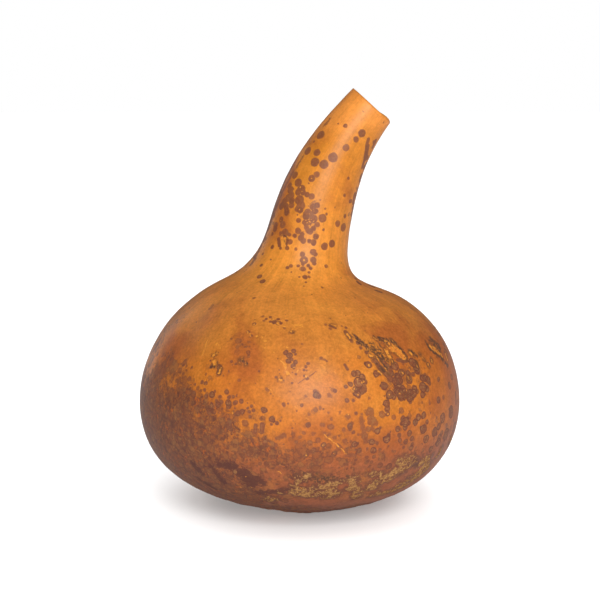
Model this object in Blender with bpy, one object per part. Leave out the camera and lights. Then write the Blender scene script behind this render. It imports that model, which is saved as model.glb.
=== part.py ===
"""A dried bottle gourd with its neck sawn off: one hollow shell that rests on its base.

Metres, +Z up. The origin lies on the surface under the middle of the belly,
and the neck leans towards +X and a little towards +Y.
"""

import math

import bmesh
import bpy
import numpy as np

MM = 0.001

# Girths of the shell, from the edge of the resting spot up to the lip of the mouth.
# Each is x and z of its centre, its radius, and its lean towards +X in degrees.
GIRTHS_MM = (
    (3.5, 0.0, 20.0, 0.0),  # edge of the resting spot
    (3.4, 2.2, 30.0, 0.0),
    (2.8, 9.0, 51.5, 0.0),  # low belly
    (1.0, 21.5, 77.5, 0.0),
    (0.0, 38.5, 93.0, 0.0),
    (0.0, 63.0, 100.0, 0.0),  # widest girth
    (0.0, 86.0, 97.6, 0.0),
    (0.0, 104.0, 90.5, 0.0),
    (-0.5, 119.0, 79.8, 0.0),  # shoulder
    (-2.0, 131.0, 65.5, 0.0),
    (-3.6, 140.0, 48.2, 1.5),  # root of the neck
    (-1.2, 147.5, 35.6, 4.0),
    (1.8, 157.0, 28.8, 8.0),
    (5.3, 172.8, 25.3, 11.0),  # waist of the neck
    (11.4, 195.0, 23.2, 19.0),
    (21.2, 217.8, 20.0, 27.5),
    (32.5, 236.4, 17.0, 36.5),
    (43.7, 250.5, 15.0, 43.0),  # lip of the mouth
)
LEAN_BACK = 5.0 * MM  # how far the lip stands behind the belly's middle
NOD_BACK = 6.0  # degrees by which the lip's girth is tipped towards +Y
NECK_FROM = 140.0 * MM  # height where the neck starts to lean back

WALL_BELLY = 4.6 * MM
WALL_LIP = 4.2 * MM

# Shallow swells and hollows of the belly: bearing and height of the middle,
# reach round the belly and up it, and how far the skin moves outwards.
SWELLS = (
    # bearing, height mm, reach round, reach up mm, outwards mm
    (215.0, 108.0, 14.0, 26.0, -2.4),
    (238.0, 100.0, 12.0, 30.0, 1.2),
    (160.0, 70.0, 26.0, 40.0, 1.0),
    (338.0, 112.0, 16.0, 18.0, 1.5),
    (300.0, 116.0, 15.0, 20.0, -1.6),
    (60.0, 95.0, 24.0, 36.0, -2.2),
    (105.0, 60.0, 28.0, 44.0, 1.6),
    (20.0, 50.0, 20.0, 30.0, -1.0),
)

# The saw left one hump on the lip, at this bearing round the mouth.
HUMP_BEARING = 322.0
HUMP_REACH = 20.0
HUMP_HEIGHT = 1.1 * MM

SEGMENTS = 48  # faces round each girth
OUTER_RINGS = 40
INNER_RINGS = 20
STEP = 1e-4  # step of the finite differences that give the skin's normal


def spline(knots, values, at):
    """Natural cubic spline through the rows of values, read at the places in at."""
    gaps = np.diff(knots)
    slopes = np.diff(values, axis=0) / gaps[:, None]
    count = len(knots)
    matrix = np.eye(count)
    right = np.zeros_like(values)
    for i in range(1, count - 1):
        matrix[i, i - 1] = gaps[i - 1]
        matrix[i, i] = 2.0 * (gaps[i - 1] + gaps[i])
        matrix[i, i + 1] = gaps[i]
        right[i] = 6.0 * (slopes[i] - slopes[i - 1])
    bend = np.linalg.solve(matrix, right)
    i = np.clip(np.searchsorted(knots, at, side="right") - 1, 0, count - 2)
    gap = gaps[i][:, None]
    before = (knots[i + 1] - at)[:, None] / gap
    after = 1.0 - before
    curve = (before**3 - before) * bend[i] + (after**3 - after) * bend[i + 1]
    return before * values[i] + after * values[i + 1] + curve * gap**2 / 6.0


def girth_table():
    """Knots from 0 to 1 along the shell, and the girths at them in metres and radians."""
    table = np.array(GIRTHS_MM) * MM
    table[:, 3] = np.radians(table[:, 3] / MM)
    steps = np.linalg.norm(np.diff(table[:, :3], axis=0), axis=1)
    knots = np.concatenate([[0.0], np.cumsum(steps)])
    return knots / knots[-1], table


KNOTS, TABLE = girth_table()
LIP_HEIGHT = TABLE[-1, 1]


def swell(bearing, height):
    """How far the belly's skin stands outwards at a bearing in degrees and a height."""
    total = np.zeros_like(height)
    for middle, level, reach_round, reach_up, outwards in SWELLS:
        turn = (bearing - middle + 180.0) % 360.0 - 180.0
        rise = (height - level * MM) / (reach_up * MM)
        total += outwards * MM * np.exp(-((turn / reach_round) ** 2) - rise**2)
    return total


def girth_frame(along):
    """Centre, radius and the two directions of the girths at the shares along."""
    x, z, radius, lean = spline(KNOTS, TABLE, along).T
    share = np.clip((z - NECK_FROM) / (LIP_HEIGHT - NECK_FROM), 0.0, 1.0)
    nod = np.radians(NOD_BACK) * share
    centre = np.stack([x, LEAN_BACK * share**2, z], axis=-1)
    right = np.stack([np.cos(lean), np.zeros_like(lean), -np.sin(lean)], axis=-1)
    up = np.stack([np.sin(lean), np.zeros_like(lean), np.cos(lean)], axis=-1)
    behind = np.cos(nod)[:, None] * np.array([0.0, 1.0, 0.0]) - np.sin(nod)[:, None] * up
    return centre, radius, right, behind


def skin(along, bearing):
    """Points of the outer skin at the shares along the shell and bearings in degrees."""
    centre, radius, right, behind = girth_frame(along)
    turn = np.radians(bearing)
    reach = radius + swell(bearing, centre[:, 2])
    across = np.cos(turn)[:, None] * right + np.sin(turn)[:, None] * behind
    return centre + reach[:, None] * across


def skin_normal(along, bearing):
    """Outward normals of the outer skin."""
    low = np.clip(along - STEP, 0.0, 1.0)
    high = np.clip(along + STEP, 0.0, 1.0)
    up = skin(high, bearing) - skin(low, bearing)
    degrees = math.degrees(STEP)
    round_ = skin(along, bearing + degrees) - skin(along, bearing - degrees)
    normal = np.cross(round_, up)
    return normal / np.linalg.norm(normal, axis=1)[:, None]


def bearings():
    return np.arange(SEGMENTS) * 360.0 / SEGMENTS


def lip_hump(bearing):
    """Height of the lip above the plane of the cut."""
    turn = (bearing - HUMP_BEARING + 180.0) % 360.0 - 180.0
    return HUMP_HEIGHT * np.exp(-((turn / HUMP_REACH) ** 2))


def mouth_axis():
    """Direction in which the mouth opens."""
    _, _, right, behind = girth_frame(np.array([1.0]))
    return np.cross(right[0], behind[0])


def outer_ring(share):
    """One girth of the outer skin."""
    bearing = bearings()
    points = skin(np.full(SEGMENTS, share), bearing)
    if share == 1.0:
        points += lip_hump(bearing)[:, None] * mouth_axis()
    return points


def inner_ring(share):
    """One girth of the hollow, a wall's thickness inside the outer skin."""
    along = np.full(SEGMENTS, share)
    bearing = bearings()
    wall = WALL_BELLY + (WALL_LIP - WALL_BELLY) * share
    if share < 1.0:
        return skin(along, bearing) - wall * skin_normal(along, bearing)
    centre, radius, _, _ = girth_frame(along)
    inwards = (skin(along, bearing) - centre) * (wall / radius)[:, None]
    return outer_ring(share) - inwards


def add_ring(mesh, points):
    return [mesh.verts.new(point) for point in points]


def join_rings(mesh, lower, upper):
    """A band of faces between two girths, with its outside on the right of the climb."""
    for i in range(SEGMENTS):
        j = (i + 1) % SEGMENTS
        mesh.faces.new((lower[i], lower[j], upper[j], upper[i]))


def build_shell():
    """The gourd's wall: outer skin up to the lip, then the hollow down to its floor."""
    mesh = bmesh.new()
    outside = [add_ring(mesh, outer_ring(s)) for s in np.linspace(0.0, 1.0, OUTER_RINGS)]
    inside = [add_ring(mesh, inner_ring(s)) for s in np.linspace(1.0, 0.0, INNER_RINGS)]
    rings = outside + inside
    for lower, upper in zip(rings, rings[1:]):
        join_rings(mesh, lower, upper)
    mesh.faces.new(reversed(outside[0]))
    mesh.faces.new(inside[-1])
    data = bpy.data.meshes.new("gourd")
    mesh.to_mesh(data)
    mesh.free()
    return data


def rind_material():
    """Dried rind: hard, smooth and orange-brown, with a low gloss."""
    material = bpy.data.materials.new("rind")
    material.use_nodes = True
    shader = material.node_tree.nodes["Principled BSDF"]
    shader.inputs["Base Color"].default_value = (0.58, 0.22, 0.045, 1.0)
    shader.inputs["Roughness"].default_value = 0.42
    shader.inputs["Metallic"].default_value = 0.0
    return material


def clear_scene():
    for obj in list(bpy.data.objects):
        bpy.data.objects.remove(obj)


def build():
    clear_scene()
    data = build_shell()
    data.materials.append(rind_material())
    data.shade_smooth()
    gourd = bpy.data.objects.new("gourd", data)
    bpy.context.scene.collection.objects.link(gourd)


build()
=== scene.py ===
"""The looks of a dried bottle gourd: spotted, scarred rind on a belly and a sawn neck.

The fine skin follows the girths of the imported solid, so it lies on it, but for the neck's end,
which is a little wider, and the cut of the lip, which is turned by a few degrees. Marks that the
photograph shows are placed where its camera sees them, on the skin itself.
"""

import math

import bpy
import numpy as np
from mathutils import Matrix, Vector
from mathutils.bvhtree import BVHTree


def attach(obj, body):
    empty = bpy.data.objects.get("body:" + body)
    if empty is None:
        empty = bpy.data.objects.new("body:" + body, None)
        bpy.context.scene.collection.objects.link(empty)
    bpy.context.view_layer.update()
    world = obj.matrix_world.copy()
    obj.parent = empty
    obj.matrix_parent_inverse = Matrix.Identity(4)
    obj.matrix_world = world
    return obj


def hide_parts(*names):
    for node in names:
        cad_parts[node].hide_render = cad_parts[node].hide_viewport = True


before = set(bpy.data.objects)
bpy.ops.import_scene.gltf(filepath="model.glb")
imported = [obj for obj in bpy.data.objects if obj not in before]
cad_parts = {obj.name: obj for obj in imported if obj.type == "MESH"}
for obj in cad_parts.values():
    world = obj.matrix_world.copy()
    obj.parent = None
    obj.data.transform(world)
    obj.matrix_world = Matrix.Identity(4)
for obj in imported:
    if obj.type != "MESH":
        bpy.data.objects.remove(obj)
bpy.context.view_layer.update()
MM = 0.001

# The form of the gourd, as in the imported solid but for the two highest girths.
# Each girth is x and z of its centre, its radius, and its lean towards +X in degrees.
GIRTHS_MM = (
    (3.5, 0.0, 20.0, 0.0),  # edge of the resting spot
    (3.4, 2.2, 30.0, 0.0),
    (2.8, 9.0, 51.5, 0.0),  # low belly
    (1.0, 21.5, 77.5, 0.0),
    (0.0, 38.5, 93.0, 0.0),
    (0.0, 63.0, 100.0, 0.0),  # widest girth
    (0.0, 86.0, 97.6, 0.0),
    (0.0, 104.0, 90.5, 0.0),
    (-0.5, 119.0, 79.8, 0.0),  # shoulder
    (-2.0, 131.0, 65.5, 0.0),
    (-3.6, 140.0, 48.2, 1.5),  # root of the neck
    (-1.2, 147.5, 35.6, 4.0),
    (1.8, 157.0, 28.8, 8.0),
    (5.3, 172.8, 25.3, 11.0),  # waist of the neck
    (11.4, 195.0, 23.2, 19.0),
    (21.2, 217.8, 20.0, 27.5),
    (32.8, 236.2, 17.3, 36.5),
    (44.1, 250.3, 15.6, 43.0),  # lip of the mouth
)
LEAN_BACK = 5.0 * MM  # how far the lip stands behind the belly's middle
NECK_FROM = 140.0 * MM  # height where the neck starts to lean back
WALL_BELLY = 4.6 * MM
WALL_LIP = 4.2 * MM
SWELLS = (
    # bearing, height mm, reach round, reach up mm, outwards mm
    (215.0, 108.0, 14.0, 26.0, -2.4),
    (238.0, 100.0, 12.0, 30.0, 1.2),
    (160.0, 70.0, 26.0, 40.0, 1.0),
    (338.0, 112.0, 16.0, 18.0, 1.5),
    (300.0, 116.0, 15.0, 20.0, -1.6),
    (60.0, 95.0, 24.0, 36.0, -2.2),
    (105.0, 60.0, 28.0, 44.0, 1.6),
    (20.0, 50.0, 20.0, 30.0, -1.0),
)
HUMP_BEARING = 322.0  # the saw left one hump on the lip
HUMP_REACH = 20.0
HUMP_HEIGHT = 1.1 * MM
STEP = 1e-4  # step of the finite differences that give the skin's normal
COURSE_POINTS = 4001  # points that measure how long the skin's course is

# How finely the skin is meshed.
RING_GAP = 1.3 * MM
MOST_FACES = 480  # round the widest girths, halved wherever they would be too narrow
FEWEST_FACES = 30
NARROWEST = 0.7 * MM
HOLLOW_FACES = 120
HOLLOW_RINGS = 44
BASE_RADII = (3.0, 6.0, 8.0, 10.5, 13.0, 15.0, 17.0, 18.6)  # rings of the resting spot, mm
# The sawn lip in section: share of the wall from the outside, and height above the cut in mm.
LIP_SECTION = ((0.03, -0.12), (0.1, 0.0), (0.35, 0.05), (0.7, 0.0), (0.92, -0.08), (1.0, -0.35))
RIND, LIP, HOLLOW = 0, 1, 2  # which finish a face takes

# The photograph's camera.
PICTURE = 600  # pixels on a side
LENS = 85.0
SENSOR = 36.0
CAMERA_RISE = 8.0  # degrees above the level
CAMERA_AWAY = 0.885
CAMERA_AIM = Vector((0.0, 0.0, 0.130))
FOCAL = PICTURE * LENS / SENSOR  # in pixels

# Marks that the photograph shows: x, y and radius in its pixels.
NECK_SPOTS = (
    (345.5, 125.8, 2.0), (320.7, 134.9, 3.6), (361.9, 133.2, 3.8), (356.2, 139.4, 2.8),
    (346.1, 147.7, 3.3), (307.7, 151.0, 3.3), (316.9, 152.5, 3.3), (332.9, 157.5, 4.7),
    (314.8, 162.1, 4.3), (323.9, 164.1, 4.3), (316.7, 174.5, 2.9), (311.7, 178.4, 3.3),
    (294.9, 175.1, 2.8), (298.0, 182.4, 3.7), (301.1, 189.2, 4.1), (298.2, 220.3, 2.4),
    (281.2, 219.5, 2.4), (282.8, 224.6, 3.0), (272.4, 233.8, 1.3), (298.2, 230.9, 2.9),
    (294.8, 235.8, 2.1), (302.2, 233.8, 2.2), (301.1, 237.8, 3.1), (303.3, 240.9, 2.8),
    (315.9, 236.6, 3.0), (313.7, 242.4, 3.1), (309.4, 241.2, 2.1), (322.5, 218.2, 4.0),
    (345.2, 216.1, 1.7), (337.8, 223.6, 2.8), (343.5, 227.3, 3.2), (348.4, 178.4, 1.4),
    (344.6, 195.4, 1.4), (290.0, 242.0, 2.5), (324.6, 246.4, 3.4),
    (332.0, 243.6, 3.3), (272.3, 247.0, 1.7), (295.8, 249.0, 1.5), (313.1, 252.1, 3.1),
    (315.4, 254.6, 2.2), (313.4, 260.0, 3.2), (314.3, 263.4, 2.3), (302.4, 254.3, 2.5),
    (304.0, 260.2, 4.0), (302.8, 264.0, 2.0), (326.0, 266.0, 1.9), (287.6, 267.9, 1.9),
    (291.0, 266.2, 2.0), (298.2, 266.2, 1.6), (303.2, 268.8, 2.8), (308.6, 265.4, 1.9),
    (310.5, 267.9, 1.9), (309.1, 272.4, 1.5), (309.1, 276.8, 1.6), (305.0, 277.2, 2.6),
    (305.7, 282.0, 1.3), (303.7, 286.0, 0.9), (291.3, 272.0, 0.8), (262.9, 253.9, 1.1),
    (270.7, 259.6, 0.8), (299.2, 277.0, 1.2), (322.3, 287.7, 1.2),
    (261.4, 265.2, 1.5), (259.5, 276.5, 2.2), (262.6, 281.4, 2.6),
    (293.0, 189.1, 1.0), (290.4, 190.0, 3.1), (290.9, 195.4, 3.3), (287.7, 198.2, 3.3),
    (289.5, 185.6, 2.4), (291.7, 200.7, 3.1), (291.2, 205.2, 2.9), (284.1, 201.8, 3.1),
    (281.4, 206.1, 2.9), (285.9, 206.3, 2.7), (286.8, 212.2, 2.8), (286.4, 209.4, 2.4),
    (299.3, 199.8, 4.6), (301.0, 205.2, 4.2), (297.5, 208.8, 2.9), (300.2, 210.0, 3.0),
    (298.2, 192.0, 3.0), (303.2, 192.4, 2.8), (307.3, 194.5, 2.7), (311.6, 196.3, 3.0),
    (275.6, 225.4, 2.6), (275.2, 228.6, 2.4), (285.0, 233.0, 3.9), (281.2, 233.6, 2.2),
    (289.4, 234.6, 1.9), (287.4, 248.0, 2.1), (280.4, 248.1, 1.4),
    (317.1, 205.2, 2.8), (312.9, 206.8, 3.3), (307.5, 211.6, 2.8), (306.0, 216.7, 3.2),
    (313.4, 218.8, 4.0), (307.4, 223.8, 3.8), (317.2, 224.6, 2.6), (315.0, 211.4, 3.0),
    (310.6, 214.4, 3.2), (304.4, 222.4, 2.4), (310.0, 231.4, 3.0), (313.6, 228.4, 2.6),
    (314.0, 141.5, 0.9), (308.6, 183.4, 0.8), (297.4, 214.6, 0.7), (325.1, 208.7, 1.1),
    (326.4, 214.0, 1.1), (323.5, 229.8, 1.2), (338.0, 123.7, 0.8),
)
BELLY_SPOTS = (
    # right of the middle
    (342.0, 325.8, 1.1), (346.2, 327.5, 1.7), (357.8, 342.8, 2.1), (361.0, 348.0, 2.0),
    (367.0, 352.3, 2.0), (368.6, 364.8, 3.8), (348.3, 361.0, 0.8), (343.3, 375.4, 0.7),
    (345.8, 386.8, 2.5), (347.0, 400.4, 2.7), (353.1, 400.4, 2.1), (384.0, 386.0, 4.3),
    (394.6, 366.0, 4.6), (401.4, 372.7, 4.0), (408.4, 373.0, 3.1), (413.0, 374.3, 2.5),
    (409.2, 380.0, 4.0), (398.0, 379.7, 5.1), (389.8, 394.6, 4.6), (401.4, 394.6, 4.8),
    (409.7, 399.6, 2.8), (422.9, 387.2, 4.6), (422.9, 394.6, 3.1), (428.3, 364.8, 2.3),
    (431.6, 360.6, 2.2), (438.3, 379.7, 1.9), (451.5, 377.2, 2.0), (449.5, 385.5, 2.4),
    (438.4, 400.0, 2.9), (451.1, 412.0, 4.0), (442.8, 417.8, 3.8), (430.4, 412.7, 1.1),
    (436.6, 417.4, 1.3), (386.8, 403.7, 4.0), (356.2, 413.3, 2.3), (377.3, 431.0, 3.6),
    (350.0, 426.1, 3.6), (353.5, 432.4, 2.4), (371.9, 442.3, 3.4), (354.6, 444.4, 3.5),
    (377.3, 443.6, 2.0), (359.2, 450.5, 3.1), (366.0, 352.2, 2.0), (370.4, 356.4, 2.3),
    (404.8, 357.6, 1.5), (398.0, 376.0, 3.4), (354.1, 373.9, 3.4), (357.8, 373.1, 3.4),
    (362.2, 377.2, 3.9), (364.7, 381.8, 3.2), (364.7, 388.6, 3.0), (358.7, 382.2, 5.6),
    (350.8, 384.3, 2.8), (355.3, 389.7, 3.8), (357.4, 393.8, 4.0), (361.6, 391.3, 3.4),
    (393.9, 397.1, 3.0), (399.7, 393.0, 5.1), (401.4, 397.1, 4.1), (398.0, 386.3, 4.3),
    (395.6, 381.6, 4.1), (403.0, 388.8, 3.4), (409.7, 397.7, 4.1), (413.8, 393.2, 4.3),
    (414.6, 388.8, 3.4), (406.0, 395.4, 3.4), (410.5, 401.7, 2.4), (427.0, 388.8, 3.0),
    (422.9, 378.2, 3.1), (427.9, 379.7, 3.5), (429.5, 383.0, 2.5), (387.3, 408.7, 3.2),
    (387.3, 413.4, 3.1), (403.0, 418.7, 3.1), (405.5, 422.2, 4.9), (408.8, 422.8, 2.6),
    (405.1, 427.4, 3.1), (407.6, 418.7, 2.1), (402.2, 422.8, 2.8), (415.5, 422.0, 3.6),
    (418.4, 417.4, 3.4), (434.5, 432.0, 3.8), (438.7, 426.6, 2.9), (399.3, 435.3, 2.6),
    (399.7, 440.0, 2.6), (388.9, 434.8, 2.4), (390.2, 431.8, 1.3), (380.2, 427.8, 2.0),
    (350.0, 428.8, 2.4), (368.6, 441.5, 1.9), (441.6, 433.6, 2.0), (439.5, 437.7, 2.9),
    (438.3, 442.2, 3.0), (412.6, 362.4, 4.5), (415.8, 366.6, 4.3), (417.2, 370.8, 3.5),
    (376.0, 373.5, 3.6), (380.0, 373.2, 2.5), (366.8, 457.5, 1.9), (367.4, 461.6, 1.9),
    (371.6, 462.0, 2.0), (229.8, 396.6, 2.2), (233.6, 396.4, 2.1), (236.6, 395.8, 1.3),
    (238.0, 413.4, 3.3), (242.4, 411.6, 3.3), (235.4, 414.4, 2.1), (289.5, 355.4, 3.6),
    (285.7, 352.8, 2.9), (293.8, 350.9, 2.8), (202.0, 382.4, 2.1), (205.4, 383.4, 2.2),
    (423.2, 387.2, 4.8), (425.2, 378.2, 3.2), (421.4, 378.4, 2.4), (410.5, 392.5, 3.6),
    (405.3, 391.5, 3.6), (397.2, 391.2, 4.2), (404.6, 396.6, 3.2), (412.2, 397.2, 3.2),
    (417.0, 391.4, 2.6), (399.8, 381.4, 3.8), (219.6, 367.6, 3.3), (219.0, 372.6, 3.1),
    (295.8, 354.2, 1.8), (288.3, 361.2, 3.2), (295.3, 362.2, 2.9), (293.2, 365.8, 2.9),
    (291.2, 359.0, 2.1), (276.2, 377.2, 1.8), (279.4, 370.1, 1.0), (279.9, 373.5, 0.9),
    (295.8, 373.9, 1.7), (292.4, 372.4, 0.9), (292.4, 383.2, 1.5), (308.2, 363.6, 2.1),
    (306.2, 367.0, 1.9), (304.3, 370.0, 1.9), (306.8, 370.6, 1.3), (304.3, 375.8, 1.5),
    (307.2, 378.6, 2.2), (321.5, 358.0, 1.9), (326.8, 361.4, 1.4), (301.9, 343.7, 1.1),
    (258.9, 371.0, 1.5), (255.5, 383.0, 0.8), (251.2, 349.0, 0.8), (290.0, 391.6, 0.9),
    (315.0, 391.4, 2.4), (318.4, 396.0, 3.4), (334.9, 390.6, 2.6), (330.2, 387.8, 0.9),
    (254.1, 324.1, 2.2), (270.4, 317.2, 1.7), (278.2, 319.2, 1.9), (274.4, 321.6, 2.4),
    (270.6, 321.6, 1.8), (281.0, 323.4, 1.8), (266.2, 318.8, 1.6), (286.8, 320.6, 1.5),
    (248.2, 331.6, 1.9), (251.6, 335.8, 1.8), (291.6, 332.4, 1.9), (330.6, 318.4, 1.0),
    (211.4, 366.2, 2.0), (210.4, 360.6, 1.2), (243.8, 361.8, 1.8), (240.8, 361.0, 1.7),
    (246.2, 363.6, 1.9), (231.4, 361.4, 1.9), (235.4, 364.2, 1.3), (232.4, 364.8, 1.0),
    (423.7, 415.0, 3.2), (427.2, 422.0, 2.2),
    (423.3, 429.0, 4.1), (397.6, 429.0, 3.2), (409.5, 433.2, 3.1), (386.8, 439.4, 4.0),
    (411.7, 438.6, 2.6), (405.5, 441.9, 2.9), (412.1, 444.4, 2.2), (410.9, 448.0, 2.6),
    (401.8, 444.4, 1.2), (403.4, 447.4, 1.9), (426.2, 439.0, 3.6), (454.0, 427.0, 3.1),
    (431.0, 449.2, 2.6), (302.0, 405.0, 2.3), (308.2, 425.0, 3.2), (323.5, 445.0, 3.2),
    (334.2, 454.0, 3.2), (304.6, 456.0, 2.1), (327.5, 455.0, 1.0), (319.6, 438.8, 1.0),
    (356.0, 460.0, 2.0), (344.4, 464.3, 1.8), (347.4, 464.8, 1.8), (373.7, 457.0, 2.2),
    (380.0, 465.3, 3.0), (388.8, 466.3, 3.4), (379.0, 458.7, 1.2), (367.3, 448.8, 1.7),
    (373.5, 450.5, 3.4), (380.0, 449.5, 1.9), (392.3, 451.0, 1.4), (400.5, 444.6, 1.2),
    (446.1, 434.4, 3.8), (334.5, 390.3, 2.4), (316.5, 395.0, 4.0), (306.0, 366.0, 1.6),
    # left of the middle
    (191.8, 367.3, 1.4), (228.7, 371.2, 1.3), (259.0, 371.5, 1.3), (251.5, 349.2, 0.8),
    (255.3, 382.9, 0.8), (215.0, 383.9, 0.8), (195.1, 384.3, 1.5), (204.7, 389.7, 1.9),
    (193.9, 392.2, 2.0), (206.3, 396.0, 2.6), (212.0, 394.5, 3.6), (215.0, 391.4, 1.9),
    (220.0, 396.8, 2.2), (226.7, 392.0, 2.9), (237.0, 394.3, 1.1), (241.2, 401.3, 2.8),
    (235.8, 402.3, 2.6), (228.3, 402.6, 3.7), (228.8, 406.6, 3.1), (221.7, 402.1, 2.3),
    (216.7, 401.3, 2.3), (218.0, 404.6, 3.3), (211.7, 405.9, 2.8), (208.8, 412.0, 2.8),
    (235.0, 408.4, 1.4), (247.4, 403.0, 1.1), (251.5, 406.3, 2.1), (253.6, 410.4, 2.3),
    (247.8, 408.0, 1.9), (249.5, 411.7, 2.2), (254.4, 403.1, 0.9), (249.9, 416.7, 2.1),
    (264.3, 410.4, 3.5), (264.8, 420.0, 0.9), (271.7, 419.1, 3.6), (277.0, 423.2, 2.6),
    (280.6, 420.6, 1.5), (271.4, 424.2, 1.8), (283.7, 404.1, 2.4), (288.3, 403.7, 1.4),
    (301.9, 405.1, 2.3), (296.6, 410.8, 1.2), (281.6, 417.0, 1.0), (293.2, 420.7, 0.9),
    (295.5, 424.0, 1.0), (292.4, 428.2, 1.3), (292.4, 433.2, 1.5), (251.8, 439.8, 2.3),
    (283.7, 444.4, 1.2), (282.0, 455.4, 1.5), (275.4, 452.2, 1.8), (271.3, 456.4, 2.4),
    (288.3, 458.0, 1.9), (294.5, 456.4, 1.2), (305.3, 456.2, 2.2), (272.9, 461.4, 1.2),
    (265.9, 463.8, 2.8), (260.0, 463.8, 2.3), (265.9, 472.1, 1.8), (270.0, 478.8, 2.0),
    (275.4, 479.6, 1.3), (279.1, 476.3, 1.3), (290.7, 483.9, 1.8), (277.0, 484.2, 1.7),
    (287.8, 489.6, 1.5), (243.9, 451.0, 2.5), (242.2, 456.4, 2.3), (248.5, 455.1, 2.1),
    (238.1, 452.2, 1.8), (302.0, 344.0, 1.0), (236.4, 472.1, 4.1),
)
FAINT_SPOTS = (
    (239.1, 380.2, 2.0), (266.9, 389.3, 2.2), (189.3, 378.9, 2.5), (309.0, 413.7, 1.8),
    (308.7, 413.3, 1.7), (322.4, 424.5, 2.7), (335.2, 437.2, 2.1), (312.8, 452.0, 2.5),
    (343.9, 440.8, 2.3), (369.4, 398.4, 2.1), (443.6, 397.5, 1.9), (429.6, 403.0, 1.8),
    (401.4, 410.4, 3.3), (382.0, 414.5, 3.8), (370.3, 411.6, 4.6), (372.0, 420.3, 5.6),
    (362.0, 414.4, 2.0), (362.0, 420.3, 2.5), (362.4, 426.1, 2.3), (367.4, 413.7, 2.8),
    (375.8, 423.4, 3.0), (369.0, 428.8, 3.4), (358.2, 434.8, 1.8), (364.9, 436.1, 3.8),
    (393.9, 417.4, 2.9), (245.3, 422.9, 3.8), (265.0, 442.3, 3.4), (286.2, 480.0, 2.0),
    (328.7, 394.9, 2.6), (305.8, 396.8, 2.0), (262.7, 316.5, 1.6), (264.0, 320.6, 1.6),
    (330.0, 328.6, 2.0), (326.0, 324.6, 1.6), (284.4, 328.0, 1.4), (239.2, 380.4, 1.6),
    (315.6, 409.8, 3.0), (328.6, 412.9, 1.8), (348.2, 416.5, 3.0), (331.3, 426.8, 3.4),
    (343.8, 429.5, 2.4), (312.9, 433.9, 2.2), (334.8, 437.5, 2.5), (329.5, 434.8, 2.0),
    (344.6, 441.1, 2.8), (309.8, 442.9, 3.4), (338.4, 446.4, 2.4), (317.9, 440.2, 3.2),
    (313.4, 450.0, 3.4), (327.7, 454.5, 1.6), (324.5, 433.0, 2.2), (304.0, 433.0, 2.6),
    (320.3, 408.0, 2.4), (296.0, 442.0, 2.6), (318.0, 463.0, 2.4), (331.0, 419.0, 2.2),
    (300.0, 437.0, 2.4), (276.0, 445.0, 2.4), (254.0, 298.0, 1.6), (340.0, 412.0, 1.9),
)
# Longer marks: x and y of both ends, and radius in pixels.
NECK_SMEARS = (
    (278.6, 239.0, 279.4, 245.5, 1.7), (287.2, 239.5, 286.6, 245.0, 1.2),
    (368.6, 139.5, 366.6, 146.0, 1.5), (367.3, 147.0, 365.2, 159.0, 2.3),
    (365.0, 158.0, 362.6, 167.0, 1.5), (375.4, 141.0, 373.2, 146.5, 1.5),
    (354.8, 195.5, 353.6, 201.5, 1.9), (306.6, 227.5, 308.4, 231.5, 2.2),
)
# A dark line along the neck's left outline: painted shade, laid as mould marks.
NECK_OUTLINE_SHADE = (
    (329.5, 119.5, 325.0, 125.0, 1.4), (303.0, 156.5, 295.0, 170.0, 0.9),
    (293.6, 171.5, 288.0, 182.0, 1.2), (286.4, 184.0, 280.2, 197.5, 1.4),
    (279.4, 200.0, 274.0, 212.0, 1.4), (273.2, 214.0, 270.0, 223.5, 1.5),
    (269.2, 225.5, 265.8, 234.5, 1.6), (265.0, 236.5, 260.6, 246.0, 1.7),
    (260.4, 247.5, 255.2, 257.0, 1.8), (255.5, 258.5, 251.0, 264.5, 1.6),
)
BELLY_SMEARS = (
    (345.5, 331.5, 351.0, 339.8, 2.1), (355.0, 335.0, 367.0, 348.0, 1.5),
    (344.7, 364.7, 347.6, 369.3, 1.8), (375.0, 360.5, 380.0, 368.0, 2.9),
    (381.0, 368.0, 391.0, 379.5, 3.1), (386.5, 366.0, 390.5, 373.0, 3.3),
    (381.0, 360.0, 386.0, 364.5, 2.6), (398.0, 360.2, 406.0, 361.0, 2.3),
    (321.8, 358.2, 326.6, 361.2, 0.7), (316.0, 371.6, 309.4, 376.2, 0.9),
    (305.6, 378.0, 298.2, 383.4, 0.8), (329.8, 325.6, 335.8, 328.0, 1.5),
    (272.0, 319.0, 280.0, 322.4, 1.0), (275.0, 323.6, 279.0, 325.2, 0.8),
    (455.5, 393.5, 456.0, 402.5, 1.5),
    (229.4, 421.0, 230.0, 427.5, 2.7), (255.6, 425.5, 255.0, 432.0, 2.3),
    (262.4, 424.5, 261.8, 431.8, 2.7),
)
DARK_SMEARS = (
    (219.5, 463.5, 233.0, 467.0, 4.8), (211.5, 466.5, 223.5, 482.0, 3.2),
    (193.0, 464.0, 203.0, 474.0, 3.4), (199.0, 479.0, 214.0, 488.0, 2.2),
    (244.0, 474.0, 251.0, 482.0, 7.6), (258.0, 479.0, 262.0, 483.0, 4.6),
    (258.0, 492.5, 283.0, 491.0, 3.4), (289.0, 489.5, 301.0, 488.0, 4.2),
)
FAINT_SMEARS = (
    (361.5, 418.0, 362.5, 428.0, 2.4), (364.0, 431.0, 366.0, 441.0, 2.6),
    (372.0, 428.0, 376.0, 432.0, 2.2), (371.0, 440.0, 377.0, 443.0, 2.2),
    (277.0, 438.2, 284.0, 436.0, 2.8),
    (320.8, 359.0, 325.0, 360.0, 1.6), (346.0, 455.8, 355.0, 455.4, 1.8),
)
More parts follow.
